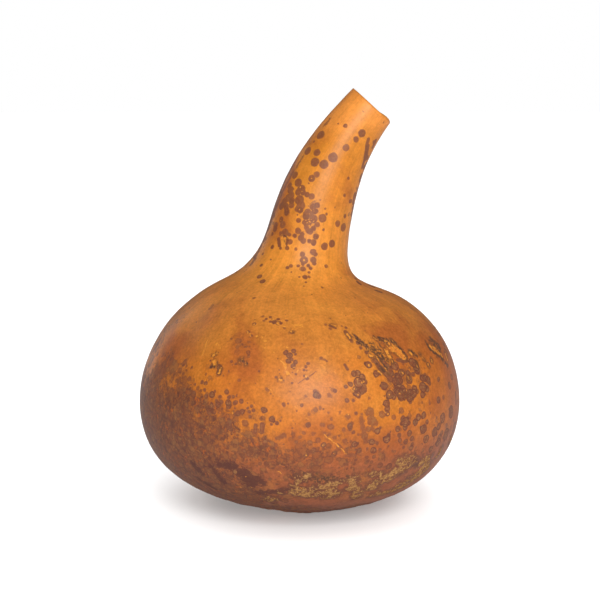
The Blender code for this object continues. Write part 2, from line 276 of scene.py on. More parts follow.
# Scars, where the rind cracked and healed yellow inside a dark edge.
SCARS = (
    (214.6, 361.5, 214.9, 363.4, 2.1), (291.0, 331.2, 292.2, 331.6, 1.1),
    (220.8, 367.8, 218.6, 373.2, 1.1), (212.8, 356.3, 215.8, 353.7, 0.9),
    (238.4, 359.8, 240.2, 363.4, 0.6), (241.6, 357.6, 242.6, 361.6, 0.6),
    (245.6, 362.8, 246.4, 364.4, 0.6),
    (386.5, 342.5, 391.5, 349.0, 2.6), (391.5, 342.0, 400.0, 352.0, 2.3),
    (395.0, 350.0, 403.5, 357.5, 2.6), (386.0, 350.0, 390.0, 357.5, 1.6),
    (374.0, 338.0, 380.0, 342.0, 0.7), (347.0, 333.5, 350.3, 338.5, 0.9),
    (384.8, 367.6, 388.2, 373.4, 0.6), (369.0, 355.0, 372.5, 356.5, 0.9),
    (376.0, 356.5, 379.5, 360.0, 0.7), (378.6, 371.0, 380.8, 373.0, 0.8),
    (391.6, 360.0, 392.6, 362.8, 0.6), (409.6, 351.6, 412.0, 354.2, 1.0),
    (416.3, 362.5, 418.4, 367.5, 0.7), (419.6, 353.6, 424.8, 359.8, 0.5),
    (401.4, 371.8, 402.6, 374.2, 0.8), (407.8, 376.2, 408.2, 379.0, 0.6),
    (433.5, 348.0, 441.5, 356.5, 1.6), (429.8, 346.0, 434.0, 350.5, 1.2),
    (445.5, 354.0, 447.3, 360.0, 0.9), (279.4, 379.6, 280.8, 380.2, 1.3),
    (331.8, 325.0, 336.0, 325.6, 0.5),
    (431.3, 359.4, 431.9, 361.6, 0.6), (427.9, 364.2, 428.7, 365.4, 0.8),
)
# Dark cracks round the scars.
CRACKS = (
    (377.5, 337.2, 385.0, 339.8, 0.8), (385.0, 339.8, 393.5, 341.8, 0.8),
    (393.5, 341.8, 400.0, 348.6, 0.8), (400.0, 348.6, 407.5, 356.8, 0.8),
    (407.5, 356.8, 408.2, 361.0, 0.7), (384.2, 341.6, 386.8, 344.6, 1.6),
    (394.0, 343.2, 396.0, 345.6, 1.2), (373.6, 336.4, 379.0, 343.2, 0.5),
    (379.0, 343.2, 385.0, 353.0, 0.6), (371.5, 345.5, 377.0, 352.0, 0.7),
    (366.0, 345.0, 372.5, 352.5, 0.6), (374.0, 352.5, 382.0, 361.0, 0.8),
    (379.5, 353.5, 386.0, 361.5, 0.7), (382.0, 362.0, 386.8, 368.5, 1.0),
    (376.6, 363.5, 384.0, 371.0, 0.9), (356.0, 338.5, 366.5, 347.0, 0.6),
    (352.5, 333.6, 358.5, 340.5, 0.5), (410.5, 350.5, 417.0, 355.5, 0.8),
    (425.4, 340.7, 429.0, 348.0, 0.8), (429.0, 348.0, 433.7, 352.0, 0.9),
    (433.7, 352.0, 438.7, 355.7, 1.0), (438.7, 355.7, 442.8, 359.8, 1.0),
    (442.8, 359.8, 447.8, 365.2, 0.8), (430.8, 338.7, 438.7, 344.9, 1.1),
    (438.7, 344.9, 440.7, 350.7, 1.0), (444.5, 349.0, 447.8, 353.2, 0.7),
    (419.5, 353.0, 426.0, 361.0, 0.5), (415.0, 360.0, 420.0, 369.0, 0.6),
    (210.5, 366.8, 214.5, 367.0, 1.0), (243.2, 360.8, 244.6, 362.6, 0.6),
    (246.8, 362.5, 248.0, 363.6, 0.5), (235.6, 364.2, 236.2, 364.6, 0.7),
    (283.2, 238.0, 285.8, 243.0, 0.45), (285.2, 235.4, 288.2, 239.8, 0.6),
)
# Flecks and healed scratches, which have no dark edge.
FLECKS = (
    (306.5, 219.5, 0.5), (311.5, 218.8, 0.5), (307.5, 223.2, 0.6), (314.2, 221.0, 0.5),
    (309.5, 214.0, 0.4), (313.2, 208.6, 0.4), (311.8, 203.6, 0.4), (306.8, 211.0, 0.4),
    (311.6, 178.3, 0.7), (299.7, 210.0, 0.8), (300.0, 205.0, 0.3), (310.0, 221.5, 0.9),
    (313.0, 223.5, 0.7), (309.0, 226.0, 1.0), (302.0, 191.0, 0.25), (363.2, 381.8, 1.2),
    (357.8, 379.0, 0.9), (357.4, 394.4, 0.8), (389.7, 395.2, 0.7), (399.8, 393.8, 0.7),
    (385.6, 412.0, 0.7), (388.0, 413.7, 0.9), (406.4, 390.6, 0.6), (368.9, 365.3, 0.9),
    (256.4, 335.8, 1.1), (261.6, 337.0, 0.9), (265.2, 341.2, 1.2), (264.4, 348.4, 0.8),
    (287.6, 347.0, 0.9), (273.4, 352.4, 0.6), (306.2, 376.2, 0.8), (254.2, 324.0, 0.7),
    (245.2, 477.1, 0.6), (251.4, 487.5, 0.6), (240.6, 487.0, 0.6), (205.4, 384.4, 0.5),
    (232.6, 412.4, 0.8), (281.0, 220.6, 0.5), (283.0, 224.2, 0.5), (303.6, 260.2, 1.2),
    (323.6, 445.2, 0.9), (334.3, 454.2, 0.8), (300.0, 325.0, 0.7), (292.0, 331.0, 0.7),
)
SCRATCHES = (
    (281.6, 235.8, 283.2, 245.8, 1.5), (284.4, 240.0, 285.0, 245.0, 1.2),
    (287.0, 236.6, 287.6, 237.8, 0.9), (268.0, 317.4, 269.6, 318.2, 0.5),
    (271.8, 319.4, 273.8, 319.6, 0.6), (277.0, 320.6, 279.0, 321.0, 0.5),
    (269.6, 323.0, 271.4, 323.6, 0.5), (277.2, 323.2, 278.8, 324.6, 0.5),
    (283.0, 326.2, 285.4, 326.8, 0.8), (291.0, 323.8, 296.4, 328.0, 0.4),
    (296.0, 325.2, 302.0, 325.0, 0.8), (299.0, 327.4, 303.0, 326.6, 0.6),
    (247.0, 331.4, 248.0, 334.0, 0.5), (250.0, 333.8, 251.0, 336.0, 0.5),
    (287.2, 370.8, 287.8, 373.6, 1.5), (281.0, 360.6, 286.4, 369.4, 0.6),
    (298.0, 364.4, 292.6, 369.0, 0.55), (289.4, 373.6, 292.8, 378.6, 0.5),
    (285.8, 364.4, 287.2, 370.0, 0.55), (285.0, 372.2, 285.6, 377.0, 0.5),
    (297.2, 371.4, 303.6, 367.4, 0.45), (291.2, 359.0, 292.4, 363.6, 0.4),
    (218.6, 344.8, 219.8, 347.6, 0.8), (214.2, 347.2, 217.0, 343.2, 0.8),
    (207.2, 340.0, 205.4, 348.0, 0.75), (203.6, 351.0, 202.2, 356.0, 0.7),
    (212.6, 356.6, 215.4, 353.8, 0.8), (268.0, 388.2, 299.0, 410.0, 0.5),
    (306.0, 418.0, 330.0, 439.5, 0.42), (330.0, 439.5, 347.0, 453.5, 0.5),
    (334.0, 372.0, 355.0, 393.5, 0.34), (278.0, 471.0, 302.0, 489.0, 0.42),
    (361.0, 343.0, 372.5, 352.0, 0.35), (354.6, 388.0, 353.4, 391.4, 0.7),
)
# Tan crust near the ground, and olive stains beside it.
CRUST_PATCHES = (
    (300.0, 479.0, 308.0, 477.0, 3.6), (297.0, 491.0, 330.0, 492.0, 6.6),
    (318.0, 487.0, 338.0, 483.0, 3.8), (326.0, 496.0, 336.0, 494.0, 4.2),
    (353.5, 477.5, 354.5, 480.5, 3.8), (350.0, 487.5, 358.5, 489.0, 3.4),
    (355.0, 491.0, 357.0, 497.5, 3.0), (371.5, 475.0, 377.0, 474.5, 2.2),
    (373.0, 486.0, 384.0, 478.0, 5.2), (384.0, 479.0, 406.0, 466.0, 5.4),
    (400.5, 460.0, 416.5, 459.4, 3.6), (426.0, 460.6, 428.0, 459.8, 3.8),
    (419.8, 463.5, 422.5, 461.5, 2.4), (399.0, 487.0, 424.0, 469.0, 5.4),
    (372.0, 495.0, 392.0, 491.0, 2.2), (412.0, 479.0, 419.0, 474.0, 4.6),
    (440.8, 449.5, 437.6, 455.5, 1.8), (449.4, 443.0, 450.6, 437.5, 1.8),
    (267.5, 499.5, 273.0, 499.0, 3.0), (280.0, 492.5, 284.0, 493.0, 1.6),
)
OLIVE_PATCHES = (
    (298.0, 477.0, 309.0, 476.0, 4.0), (315.0, 478.0, 334.0, 480.5, 4.6),
    (342.0, 480.0, 346.0, 478.5, 3.0), (411.5, 463.5, 417.0, 464.0, 3.2),
    (379.0, 339.0, 386.5, 343.0, 1.9), (386.5, 339.0, 400.5, 348.0, 0.9),
    (400.5, 348.0, 407.5, 357.5, 0.9), (431.5, 340.5, 439.5, 350.0, 2.6),
    (426.0, 342.0, 430.5, 350.5, 0.9), (430.5, 350.5, 440.0, 358.0, 1.1),
    (440.0, 358.0, 447.5, 366.0, 1.0), (371.5, 346.0, 382.0, 356.5, 4.4),
    (355.5, 337.0, 368.5, 350.0, 2.2), (393.4, 343.2, 395.0, 346.8, 1.2),
    (409.5, 351.0, 417.0, 356.5, 1.9), (386.0, 359.0, 392.0, 361.0, 1.8),
    (405.8, 396.0, 407.0, 396.6, 1.4), (300.8, 426.2, 301.6, 426.6, 1.0),
)
# Broad mouldy stains: bearing and height of the middle, and how far they reach.
STAINS = (
    # bearing, height mm, reach round, reach up mm, strength
    (200.0, 45.0, 58.0, 50.0, 1.2),
    (240.0, 24.0, 26.0, 18.0, 0.95),
    (260.0, 13.0, 26.0, 9.0, 0.85),
    (184.0, 78.0, 22.0, 34.0, 0.55),
    (192.0, 110.0, 9.0, 20.0, 0.5),
    (246.0, 115.0, 8.0, 9.0, 0.3),
    (212.0, 92.0, 15.0, 17.0, 0.6),
    (229.0, 80.0, 12.0, 13.0, 0.95),
    (240.0, 68.0, 15.0, 19.0, 0.78),
    (252.0, 58.0, 16.0, 14.0, 0.8),
    (274.0, 50.0, 26.0, 18.0, 0.6),
    (188.0, 195.0, 30.0, 36.0, 0.8),
    (284.0, 186.0, 15.0, 12.0, 0.5),
    (300.0, 9.0, 50.0, 8.0, 0.8),
    (282.0, 42.0, 34.0, 28.0, 0.42),
    (330.0, 44.0, 30.0, 30.0, 0.28),
    (352.0, 34.0, 18.0, 26.0, 0.45),
    (357.0, 66.0, 12.0, 24.0, 0.5),
    (311.0, 92.0, 12.0, 16.0, 0.5),
    (146.0, 40.0, 20.0, 26.0, 0.7),
    (96.0, 62.0, 20.0, 24.0, 0.55),
    (48.0, 38.0, 26.0, 22.0, 0.8),
    (20.0, 96.0, 14.0, 14.0, 0.4),
    (120.0, 190.0, 40.0, 22.0, 0.45),
    (60.0, 160.0, 36.0, 14.0, 0.35),
)
# Soft changes of the rind's tone, those on the neck's left partly painted shade: browner above zero,
# more golden below it.
TINTS_AND_PAINTED_SHADE = (
    # bearing, height mm, reach round, reach up mm, strength
    (216.0, 112.0, 13.0, 18.0, 0.6),
    (228.0, 130.0, 12.0, 10.0, 0.4),
    (236.0, 106.0, 8.0, 18.0, -0.6),
    (251.0, 107.0, 6.0, 10.0, 0.8),
    (245.0, 117.0, 9.0, 9.0, 0.9),
    (244.0, 98.0, 14.0, 18.0, 0.6),
    (209.0, 98.0, 9.0, 16.0, 0.5),
    (318.0, 116.0, 22.0, 14.0, 0.7),
    (275.0, 92.0, 26.0, 20.0, -0.35),
    (334.0, 92.0, 20.0, 26.0, 0.65),
    (347.0, 84.0, 10.0, 44.0, 1.0),
    (325.0, 200.0, 24.0, 36.0, 0.35),
    # browner on the neck's left: partly its own brown, partly painted shade
    (240.0, 190.0, 26.0, 36.0, 0.6),
    (224.0, 222.0, 16.0, 14.0, 0.5),
    # browner on the neck's left: partly its own brown, partly painted shade
    (206.0, 205.0, 40.0, 40.0, 0.5),
    (258.0, 150.0, 60.0, 12.0, -0.5),
    (280.0, 62.0, 26.0, 16.0, 0.75),
    (265.0, 190.0, 60.0, 60.0, -0.2),
    (30.0, 118.0, 24.0, 16.0, 0.7),
    (70.0, 88.0, 20.0, 24.0, -0.6),
    (118.0, 112.0, 20.0, 18.0, 0.6),
    (150.0, 96.0, 14.0, 20.0, -0.4),
    (60.0, 210.0, 50.0, 24.0, 0.4),
)


def spline(knots, values, at):
    """Natural cubic spline through the rows of values, read at the places in at."""
    gaps = np.diff(knots)
    slopes = np.diff(values, axis=0) / gaps[:, None]
    count = len(knots)
    matrix = np.eye(count)
    right = np.zeros_like(values)
    for i in range(1, count - 1):
        matrix[i, i - 1] = gaps[i - 1]
        matrix[i, i] = 2.0 * (gaps[i - 1] + gaps[i])
        matrix[i, i + 1] = gaps[i]
        right[i] = 6.0 * (slopes[i] - slopes[i - 1])
    bend = np.linalg.solve(matrix, right)
    i = np.clip(np.searchsorted(knots, at, side="right") - 1, 0, count - 2)
    gap = gaps[i][:, None]
    before = (knots[i + 1] - at)[:, None] / gap
    after = 1.0 - before
    curve = (before**3 - before) * bend[i] + (after**3 - after) * bend[i + 1]
    return before * values[i] + after * values[i + 1] + curve * gap**2 / 6.0


def girth_table():
    """Knots from 0 to 1 along the shell, and the girths at them in metres and radians."""
    table = np.array(GIRTHS_MM) * MM
    table[:, 3] = np.radians(table[:, 3] / MM)
    steps = np.linalg.norm(np.diff(table[:, :3], axis=0), axis=1)
    knots = np.concatenate([[0.0], np.cumsum(steps)])
    return knots / knots[-1], table


KNOTS, TABLE = girth_table()
LIP_HEIGHT = TABLE[-1, 1]


def turn_from(bearing, middle):
    """Signed angle in degrees from a middle bearing."""
    return (bearing - middle + 180.0) % 360.0 - 180.0


def swell(bearing, height):
    """How far the belly's skin stands outwards at a bearing in degrees and a height."""
    total = np.zeros_like(height)
    for middle, level, reach_round, reach_up, outwards in SWELLS:
        turn = turn_from(bearing, middle)
        rise = (height - level * MM) / (reach_up * MM)
        total += outwards * MM * np.exp(-((turn / reach_round) ** 2) - rise**2)
    return total


def girth_frame(along):
    """Centre, radius and the two directions of the girths at the shares along."""
    x, z, radius, lean = spline(KNOTS, TABLE, along).T
    share = np.clip((z - NECK_FROM) / (LIP_HEIGHT - NECK_FROM), 0.0, 1.0)
    centre = np.stack([x, LEAN_BACK * share**2, z], axis=-1)
    right = np.stack([np.cos(lean), np.zeros_like(lean), -np.sin(lean)], axis=-1)
    behind = np.broadcast_to([0.0, 1.0, 0.0], right.shape)
    return centre, radius, right, behind


def skin(along, bearing):
    """Points of the outer skin at the shares along the shell and bearings in degrees."""
    centre, radius, right, behind = girth_frame(along)
    turn = np.radians(bearing)
    reach = radius + swell(bearing, centre[:, 2])
    across = np.cos(turn)[:, None] * right + np.sin(turn)[:, None] * behind
    return centre + reach[:, None] * across


def skin_normal(along, bearing):
    """Outward normals of the outer skin."""
    low = np.clip(along - STEP, 0.0, 1.0)
    high = np.clip(along + STEP, 0.0, 1.0)
    up = skin(high, bearing) - skin(low, bearing)
    degrees = math.degrees(STEP)
    round_ = skin(along, bearing + degrees) - skin(along, bearing - degrees)
    normal = np.cross(round_, up)
    return normal / np.linalg.norm(normal, axis=1)[:, None]


def lip_hump(bearing):
    """Height of the lip above the plane of the cut."""
    return HUMP_HEIGHT * np.exp(-((turn_from(bearing, HUMP_BEARING) / HUMP_REACH) ** 2))


def mouth_axis():
    """Direction in which the mouth opens."""
    _, _, right, behind = girth_frame(np.array([1.0]))
    return np.cross(right[0], behind[0])


class Shell:
    """Gathers the rings of a closed skin and the faces that join them."""

    def __init__(self):
        self.points = np.zeros((0, 3))
        self.grain = np.zeros((0, 3))
        self.faces = []
        self.finish = []
        self.last = None

    def add_points(self, points, grain):
        first = len(self.points)
        self.points = np.vstack([self.points, points])
        self.grain = np.vstack([self.grain, grain])
        return np.arange(first, len(self.points))

    def add_faces(self, corners, finish):
        self.faces += corners
        self.finish += [finish] * len(corners)

    def ring(self, points, bearing, along, finish):
        """Adds a ring and joins it to the last one, which has as many points, half or double."""
        turn = np.radians(bearing)
        grain = np.stack([np.cos(turn), np.sin(turn), np.full(len(turn), along)], axis=-1)
        new = self.add_points(points, grain)
        if self.last is not None:
            self.add_faces(band(self.last, new), finish)
        self.last = new

    def cap(self, finish, upwards):
        """Closes the last ring with triangles to its middle."""
        ring = self.last
        middle = self.points[ring].mean(axis=0)
        tip = self.add_points(middle[None], self.grain[ring[:1]])[0]
        corners = [(a, b, tip) for a, b in zip(ring, np.roll(ring, -1))]
        self.add_faces(corners if upwards else [c[::-1] for c in corners], finish)


def band(low, high):
    """Faces between two rings, with their outside on the right of the climb."""
    if len(low) == len(high):
        sides = (low, np.roll(low, -1), np.roll(high, -1), high)
        return [tuple(corners) for corners in np.stack(sides, axis=-1).tolist()]
    many, few = (low, high) if len(low) > len(high) else (high, low)
    faces = []
    for i, (d, e) in enumerate(zip(few, np.roll(few, -1))):
        a, b, c = many[2 * i], many[2 * i + 1], many[(2 * i + 2) % len(many)]
        faces += [(a, b, d), (b, e, d), (b, c, e)]
    if many is high:
        faces = [corners[::-1] for corners in faces]
    return faces


def bearings(count):
    return np.arange(count) * 360.0 / count


def face_count(radius):
    """Faces round a girth of this radius."""
    count = MOST_FACES
    while count > FEWEST_FACES and 2.0 * math.pi * radius < count * NARROWEST:
        count //= 2
    return count


def even_shares():
    """Shares along the shell whose girths are a ring's gap apart along the skin."""
    fine = np.linspace(0.0, 1.0, COURSE_POINTS)
    course = spline(KNOTS, TABLE, fine)[:, :3]
    steps = np.linalg.norm(np.diff(course, axis=0), axis=1)
    length = np.concatenate([[0.0], np.cumsum(steps)])
    wanted = np.linspace(0.0, length[-1], int(length[-1] / RING_GAP) + 2)
    return np.interp(wanted, length, fine)


def outer_ring(share, count):
    bearing = bearings(count)
    points = skin(np.full(count, share), bearing)
    if share == 1.0:
        points += lip_hump(bearing)[:, None] * mouth_axis()
    return points


def inner_ring(share, count):
    """One girth of the hollow, a wall's thickness inside the outer skin."""
    along = np.full(count, share)
    bearing = bearings(count)
    wall = WALL_BELLY + (WALL_LIP - WALL_BELLY) * share
    if share < 1.0:
        return skin(along, bearing) - wall * skin_normal(along, bearing)
    centre, radius, _, _ = girth_frame(along)
    inwards = (skin(along, bearing) - centre) * (wall / radius)[:, None]
    return outer_ring(share, count) - inwards


def add_base(shell):
    """The flat spot that the gourd rests on."""
    centre = np.array([TABLE[0, 0], 0.0, 0.0])
    edge = outer_ring(0.0, MOST_FACES)
    for number, radius in enumerate(BASE_RADII):
        count = face_count(radius * MM)
        spoke = edge[:: MOST_FACES // count] - centre
        share = radius * MM / TABLE[0, 2]
        shell.ring(centre + spoke * share, bearings(count), 0.0, RIND)
        if number == 0:
            shell.cap(RIND, upwards=False)


def add_lip(shell):
    """The sawn edge, from the outer skin to the hollow."""
    count = face_count(TABLE[-1, 2])
    outer = outer_ring(1.0, count)
    inner = inner_ring(1.0, count)
    for share, height in LIP_SECTION:
        points = outer + (inner - outer) * share + height * MM * mouth_axis()
        shell.ring(points, bearings(count), 1.0, LIP)


def build_shell():
    """The whole closed shell: base, outer skin, lip and hollow."""
    shell = Shell()
    add_base(shell)
    for share in even_shares():
        _, radius, _, _ = girth_frame(np.array([share]))
        count = face_count(radius[0])
        shell.ring(outer_ring(share, count), bearings(count), share, RIND)
    add_lip(shell)
    for share in np.linspace(1.0, 0.0, HOLLOW_RINGS)[1:]:
        shell.ring(inner_ring(share, HOLLOW_FACES), bearings(HOLLOW_FACES), share, HOLLOW)
    shell.cap(HOLLOW, upwards=True)
    return shell


# Where the photograph's camera sees a mark.

LEAST_FACING = 0.3  # marks near the outline aren't widened further than this allows


def camera_axes():
    """Right, up and ahead of the photograph's camera."""
    rise = math.radians(CAMERA_RISE)
    ahead = Vector((0.0, math.cos(rise), -math.sin(rise)))
    right = Vector((1.0, 0.0, 0.0))
    return right, right.cross(ahead), ahead


def camera_place():
    return CAMERA_AIM - camera_axes()[2] * CAMERA_AWAY


def seen_at(tree, x, y):
    """The skin's point behind a pixel, its distance, and how squarely it faces the camera."""
    right, up, ahead = camera_axes()
    middle = PICTURE / 2.0
    ray = ahead * FOCAL + right * (x - middle) + up * (middle - y)
    ray.normalize()
    point, normal, _, distance = tree.ray_cast(camera_place(), ray)
    if point is None:
        return None
    return np.array(point), distance, max(-normal.dot(ray), LEAST_FACING)


PLACES_AT_ONCE = 2000  # as many are measured together, to spare memory


class Marks:
    """Marks on the skin, each a round-ended stroke. All lengths are in millimetres."""

    def __init__(self):
        self.start = []
        self.reach = []
        self.radius = []
        self.strength = []
        self.dark = []

    def add(self, start, end, radius, strength=1.0, dark=0.0):
        self.start.append(start / MM)
        self.reach.append((end - start) / MM)
        self.radius.append(radius / MM)
        self.strength.append(strength)
        self.dark.append(dark)

    def add_seen(self, tree, strokes, strength, dark):
        """Adds strokes given in the photograph's pixels: one point or two, then a radius."""
        for *ends, radius in strokes:
            first = seen_at(tree, *ends[:2])
            last = seen_at(tree, *ends[-2:])
            if first and last:
                distance = 0.5 * (first[1] + last[1])
                facing = 0.5 * (first[2] + last[2])
                size = radius * distance / FOCAL / math.sqrt(facing)
                self.add(first[0], last[0], size, strength, dark)

    def close(self):
        for name in ("start", "reach", "radius", "strength", "dark"):
            setattr(self, name, np.array(getattr(self, name)))

    def gaps(self, places):
        """Distance from each place to the edge of each mark, below zero inside it."""
        to = places[:, None] - self.start
        length = np.maximum((self.reach**2).sum(axis=1), 1e-6)
        share = np.clip((to * self.reach).sum(axis=2) / length, 0.0, 1.0)
        off = to - share[:, :, None] * self.reach
        return np.sqrt((off**2).sum(axis=2)) - self.radius

    def nearest(self, places, count):
        """The nearest marks of each place, nearest first, and the gap to the first."""
        rows = []
        gaps = []
        for part in np.array_split(places / MM, len(places) // PLACES_AT_ONCE + 1):
            gap = self.gaps(part)
            order = np.argsort(gap, axis=1)[:, :count]
            rows.append(order)
            gaps.append(np.take_along_axis(gap, order[:, :1], axis=1)[:, 0])
        return np.vstack(rows), np.concatenate(gaps)


# The marks of each kind. A scar of strength 0 has no dark edge.
SEEN = {
    # kind: strokes, strength and darkness
    "mould": (
        (NECK_SPOTS, 1.0, 0.0),
        (BELLY_SPOTS, 1.0, 0.0),
        (NECK_SMEARS, 1.0, 0.0),
        (BELLY_SMEARS, 1.0, 0.0),
        # the dark line along the neck's left outline is painted shade
        (NECK_OUTLINE_SHADE, 0.8, 0.5),
        (DARK_SMEARS, 0.95, 0.95),
        (FAINT_SPOTS, 0.82, 0.0),
        (FAINT_SMEARS, 0.82, 0.0),
    ),
    "scar": ((SCARS, 1.0, 0.0), (FLECKS, 0.0, 0.0), (SCRATCHES, 0.0, 0.0)),
    "crack": ((CRACKS, 1.0, 0.0),),
    "crust": ((CRUST_PATCHES, 1.0, 0.0),),
    "olive": ((OLIVE_PATCHES, 1.0, 0.0),),
}

# Marks on the sides that the photograph doesn't show.
RANDOM_SEED = 20
HIDDEN_BEARINGS = (-14.0, 194.0)  # the far side, from +X round the back to -X
SKIN_LENGTH = 0.33  # from the resting spot to the lip along the skin
MORE_SPOTS = 3.5  # mean of the draw for how many spots a cluster has beyond its first
SIZE_SPREAD = 0.45
MOST_DRAWN_IN = 0.12  # how far a spot may stretch towards the middle of its cluster
SLANT_SPREAD = 20.0  # degrees
LENGTH_SPREAD = (0.4, 1.6)  # least and most, in mean lengths
DARKNESS = (0.0, 0.4)  # least and most that is drawn for a spot of mould
HIDDEN_CLUSTERS = {
    # kind: how many, shares along the shell, spread mm, usual and greatest radius mm
    "mould": ((60, (0.16, 0.52), 8.0, (1.5, 3.4)), (26, (0.6, 0.97), 6.0, (1.4, 2.8))),
}
HIDDEN_STROKES = {
    # kind: how many, shares along the shell, length mm, least and greatest radius mm, slant
    "scar": ((26, (0.3, 0.55), 6.0, (0.4, 1.3), 25.0),),
    "crack": ((30, (0.3, 0.55), 5.0, (0.3, 0.7), 25.0),),
    "crust": ((26, (0.07, 0.17), 10.0, (1.2, 3.2), 70.0),),
    "olive": ((10, (0.1, 0.5), 7.0, (0.8, 2.4), 40.0),),
}


def on_skin(share, bearing):
    return skin(np.clip([share], 0.0, 1.0), np.array([bearing]))[0]


def far_place(random, shares):
    """A share, a bearing and the girth's radius there, drawn for the far side."""
    share = random.uniform(*shares)
    bearing = random.uniform(*HIDDEN_BEARINGS)
    return share, bearing, girth_frame(np.array([share]))[1][0]


def scatter_clusters(random, marks, count, shares, spread, sizes):
    """Clusters of round spots on the far side."""
    usual, greatest = (size * MM for size in sizes)
    reach = spread * MM
    for _ in range(count):
        share, bearing, radius = far_place(random, shares)
        middle = on_skin(share, bearing)
        for _ in range(1 + int(random.exponential(MORE_SPOTS))):
            round_ = math.degrees(random.normal() * reach / radius)
            up = random.normal() * reach / SKIN_LENGTH
            spot = on_skin(share + up, bearing + round_)
            size = min(usual * math.exp(SIZE_SPREAD * random.normal()), greatest)
            end = spot + (middle - spot) * random.uniform(0.0, MOST_DRAWN_IN)
            marks.add(spot, end, size)


def scatter_strokes(random, marks, count, shares, length, sizes, slant):
    """Single strokes on the far side, which lie along the gourd or across it."""
    least, greatest = (size * MM for size in sizes)
    for _ in range(count):
        share, bearing, radius = far_place(random, shares)
        lean = math.radians(random.normal() * SLANT_SPREAD + slant)
        long = length * MM * random.uniform(*LENGTH_SPREAD)
        up = long * math.cos(lean) / SKIN_LENGTH
        round_ = math.degrees(long * math.sin(lean) / radius)
        end = on_skin(share + up, bearing + round_)
        marks.add(on_skin(share, bearing), end, random.uniform(least, greatest))


def marks_of(kind, tree, random):
    """The marks of one kind: those that are seen, and then those of the far side."""
    marks = Marks()
    for strokes, strength, dark in SEEN[kind]:
        marks.add_seen(tree, strokes, strength, dark)
    for clusters in HIDDEN_CLUSTERS.get(kind, ()):
        scatter_clusters(random, marks, *clusters)
    for strokes in HIDDEN_STROKES.get(kind, ()):
        scatter_strokes(random, marks, *strokes)
    marks.close()
    if kind == "mould":
        marks.dark = np.maximum(marks.dark, random.uniform(*DARKNESS, len(marks.dark)))
    return marks


def patches(points, table):
    """How far each point of the skin lies in each patch of a table, times its strength."""
    bearing = np.degrees(np.arctan2(points[:, 1], points[:, 0]))
    height = points[:, 2]
    for middle, level, reach_round, reach_up, strength in table:
        turn = turn_from(bearing, middle) / reach_round
        rise = (height - level * MM) / (reach_up * MM)
        yield strength * np.exp(-((turn**2 + rise**2) ** 1.5))


NEAR_MARKS = {"mould": 3, "scar": 1, "crack": 1}  # how many of the nearest a face knows


def write_attribute(mesh, name, kind, domain, values):
    field = {"FLOAT": "value", "INT": "value", "FLOAT_VECTOR": "vector"}[kind]
    attribute = mesh.attributes.new(name, kind, domain)
    attribute.data.foreach_set(field, np.ascontiguousarray(values).ravel())


def write_near_marks(mesh, kind, marks, middles, count):
    """Writes the marks nearest to each face: start, reach, and radius, strength and darkness."""
    rows, _ = marks.nearest(middles, count)
    for rank in range(count):
        row = rows[:, rank]
        make = np.stack([marks.radius[row], marks.strength[row], marks.dark[row]], axis=-1)
        parts = {"start": marks.start[row], "reach": marks.reach[row], "make": make}
        for part, values in parts.items():
            write_attribute(mesh, f"{kind}_{rank}_{part}", "FLOAT_VECTOR", "FACE", values)


def write_marks(mesh, shell, finish):
    """Writes where the marks lie, for the finishes and the relief."""
    points = shell.points
    middles = np.array([points[list(corners)].mean(axis=0) for corners in shell.faces])
    outside = [corners for corners, kind in zip(shell.faces, finish) if kind == RIND]
    tree = BVHTree.FromPolygons(points.tolist(), outside)
    random = np.random.default_rng(RANDOM_SEED)
    marks = {kind: marks_of(kind, tree, random) for kind in SEEN}
    for kind, count in NEAR_MARKS.items():
        write_near_marks(mesh, kind, marks[kind], middles, count)
    for kind in ("crust", "olive", "scar"):
        gap = marks[kind].nearest(points, 1)[1]
        write_attribute(mesh, f"{kind}_gap", "FLOAT", "POINT", gap)


def shell_mesh():
    """The shell as a mesh with everything that its finishes read from it."""
    shell = build_shell()
    finish = np.array(shell.finish)
    mesh = bpy.data.meshes.new("gourd_skin")
    mesh.from_pydata(shell.points.tolist(), [], shell.faces)
    mesh.shade_smooth()
    write_marks(mesh, shell, finish)
    stain = np.max(list(patches(shell.points, STAINS)), axis=0)
    tint = np.sum(list(patches(shell.points, TINTS_AND_PAINTED_SHADE)), axis=0)
    write_attribute(mesh, "finish", "INT", "FACE", finish)
    write_attribute(mesh, "grain", "FLOAT_VECTOR", "POINT", shell.grain)
    write_attribute(mesh, "stain", "FLOAT", "POINT", stain)
    write_attribute(mesh, "tint", "FLOAT", "POINT", tint)
    return mesh


# Helpers that write node trees.

FLOAT = "NodeSocketFloat"
VECTOR = "NodeSocketVector"
INTEGER = "NodeSocketInt"


def colour(red, green, blue):
    """A colour given as a screen shows it, from 0 to 255, as the linear one that shaders take."""
    parts = [part / 255.0 for part in (red, green, blue)]
    linear = [p / 12.92 if p <= 0.04045 else ((p + 0.055) / 1.055) ** 2.4 for p in parts]
    return (*linear, 1.0)


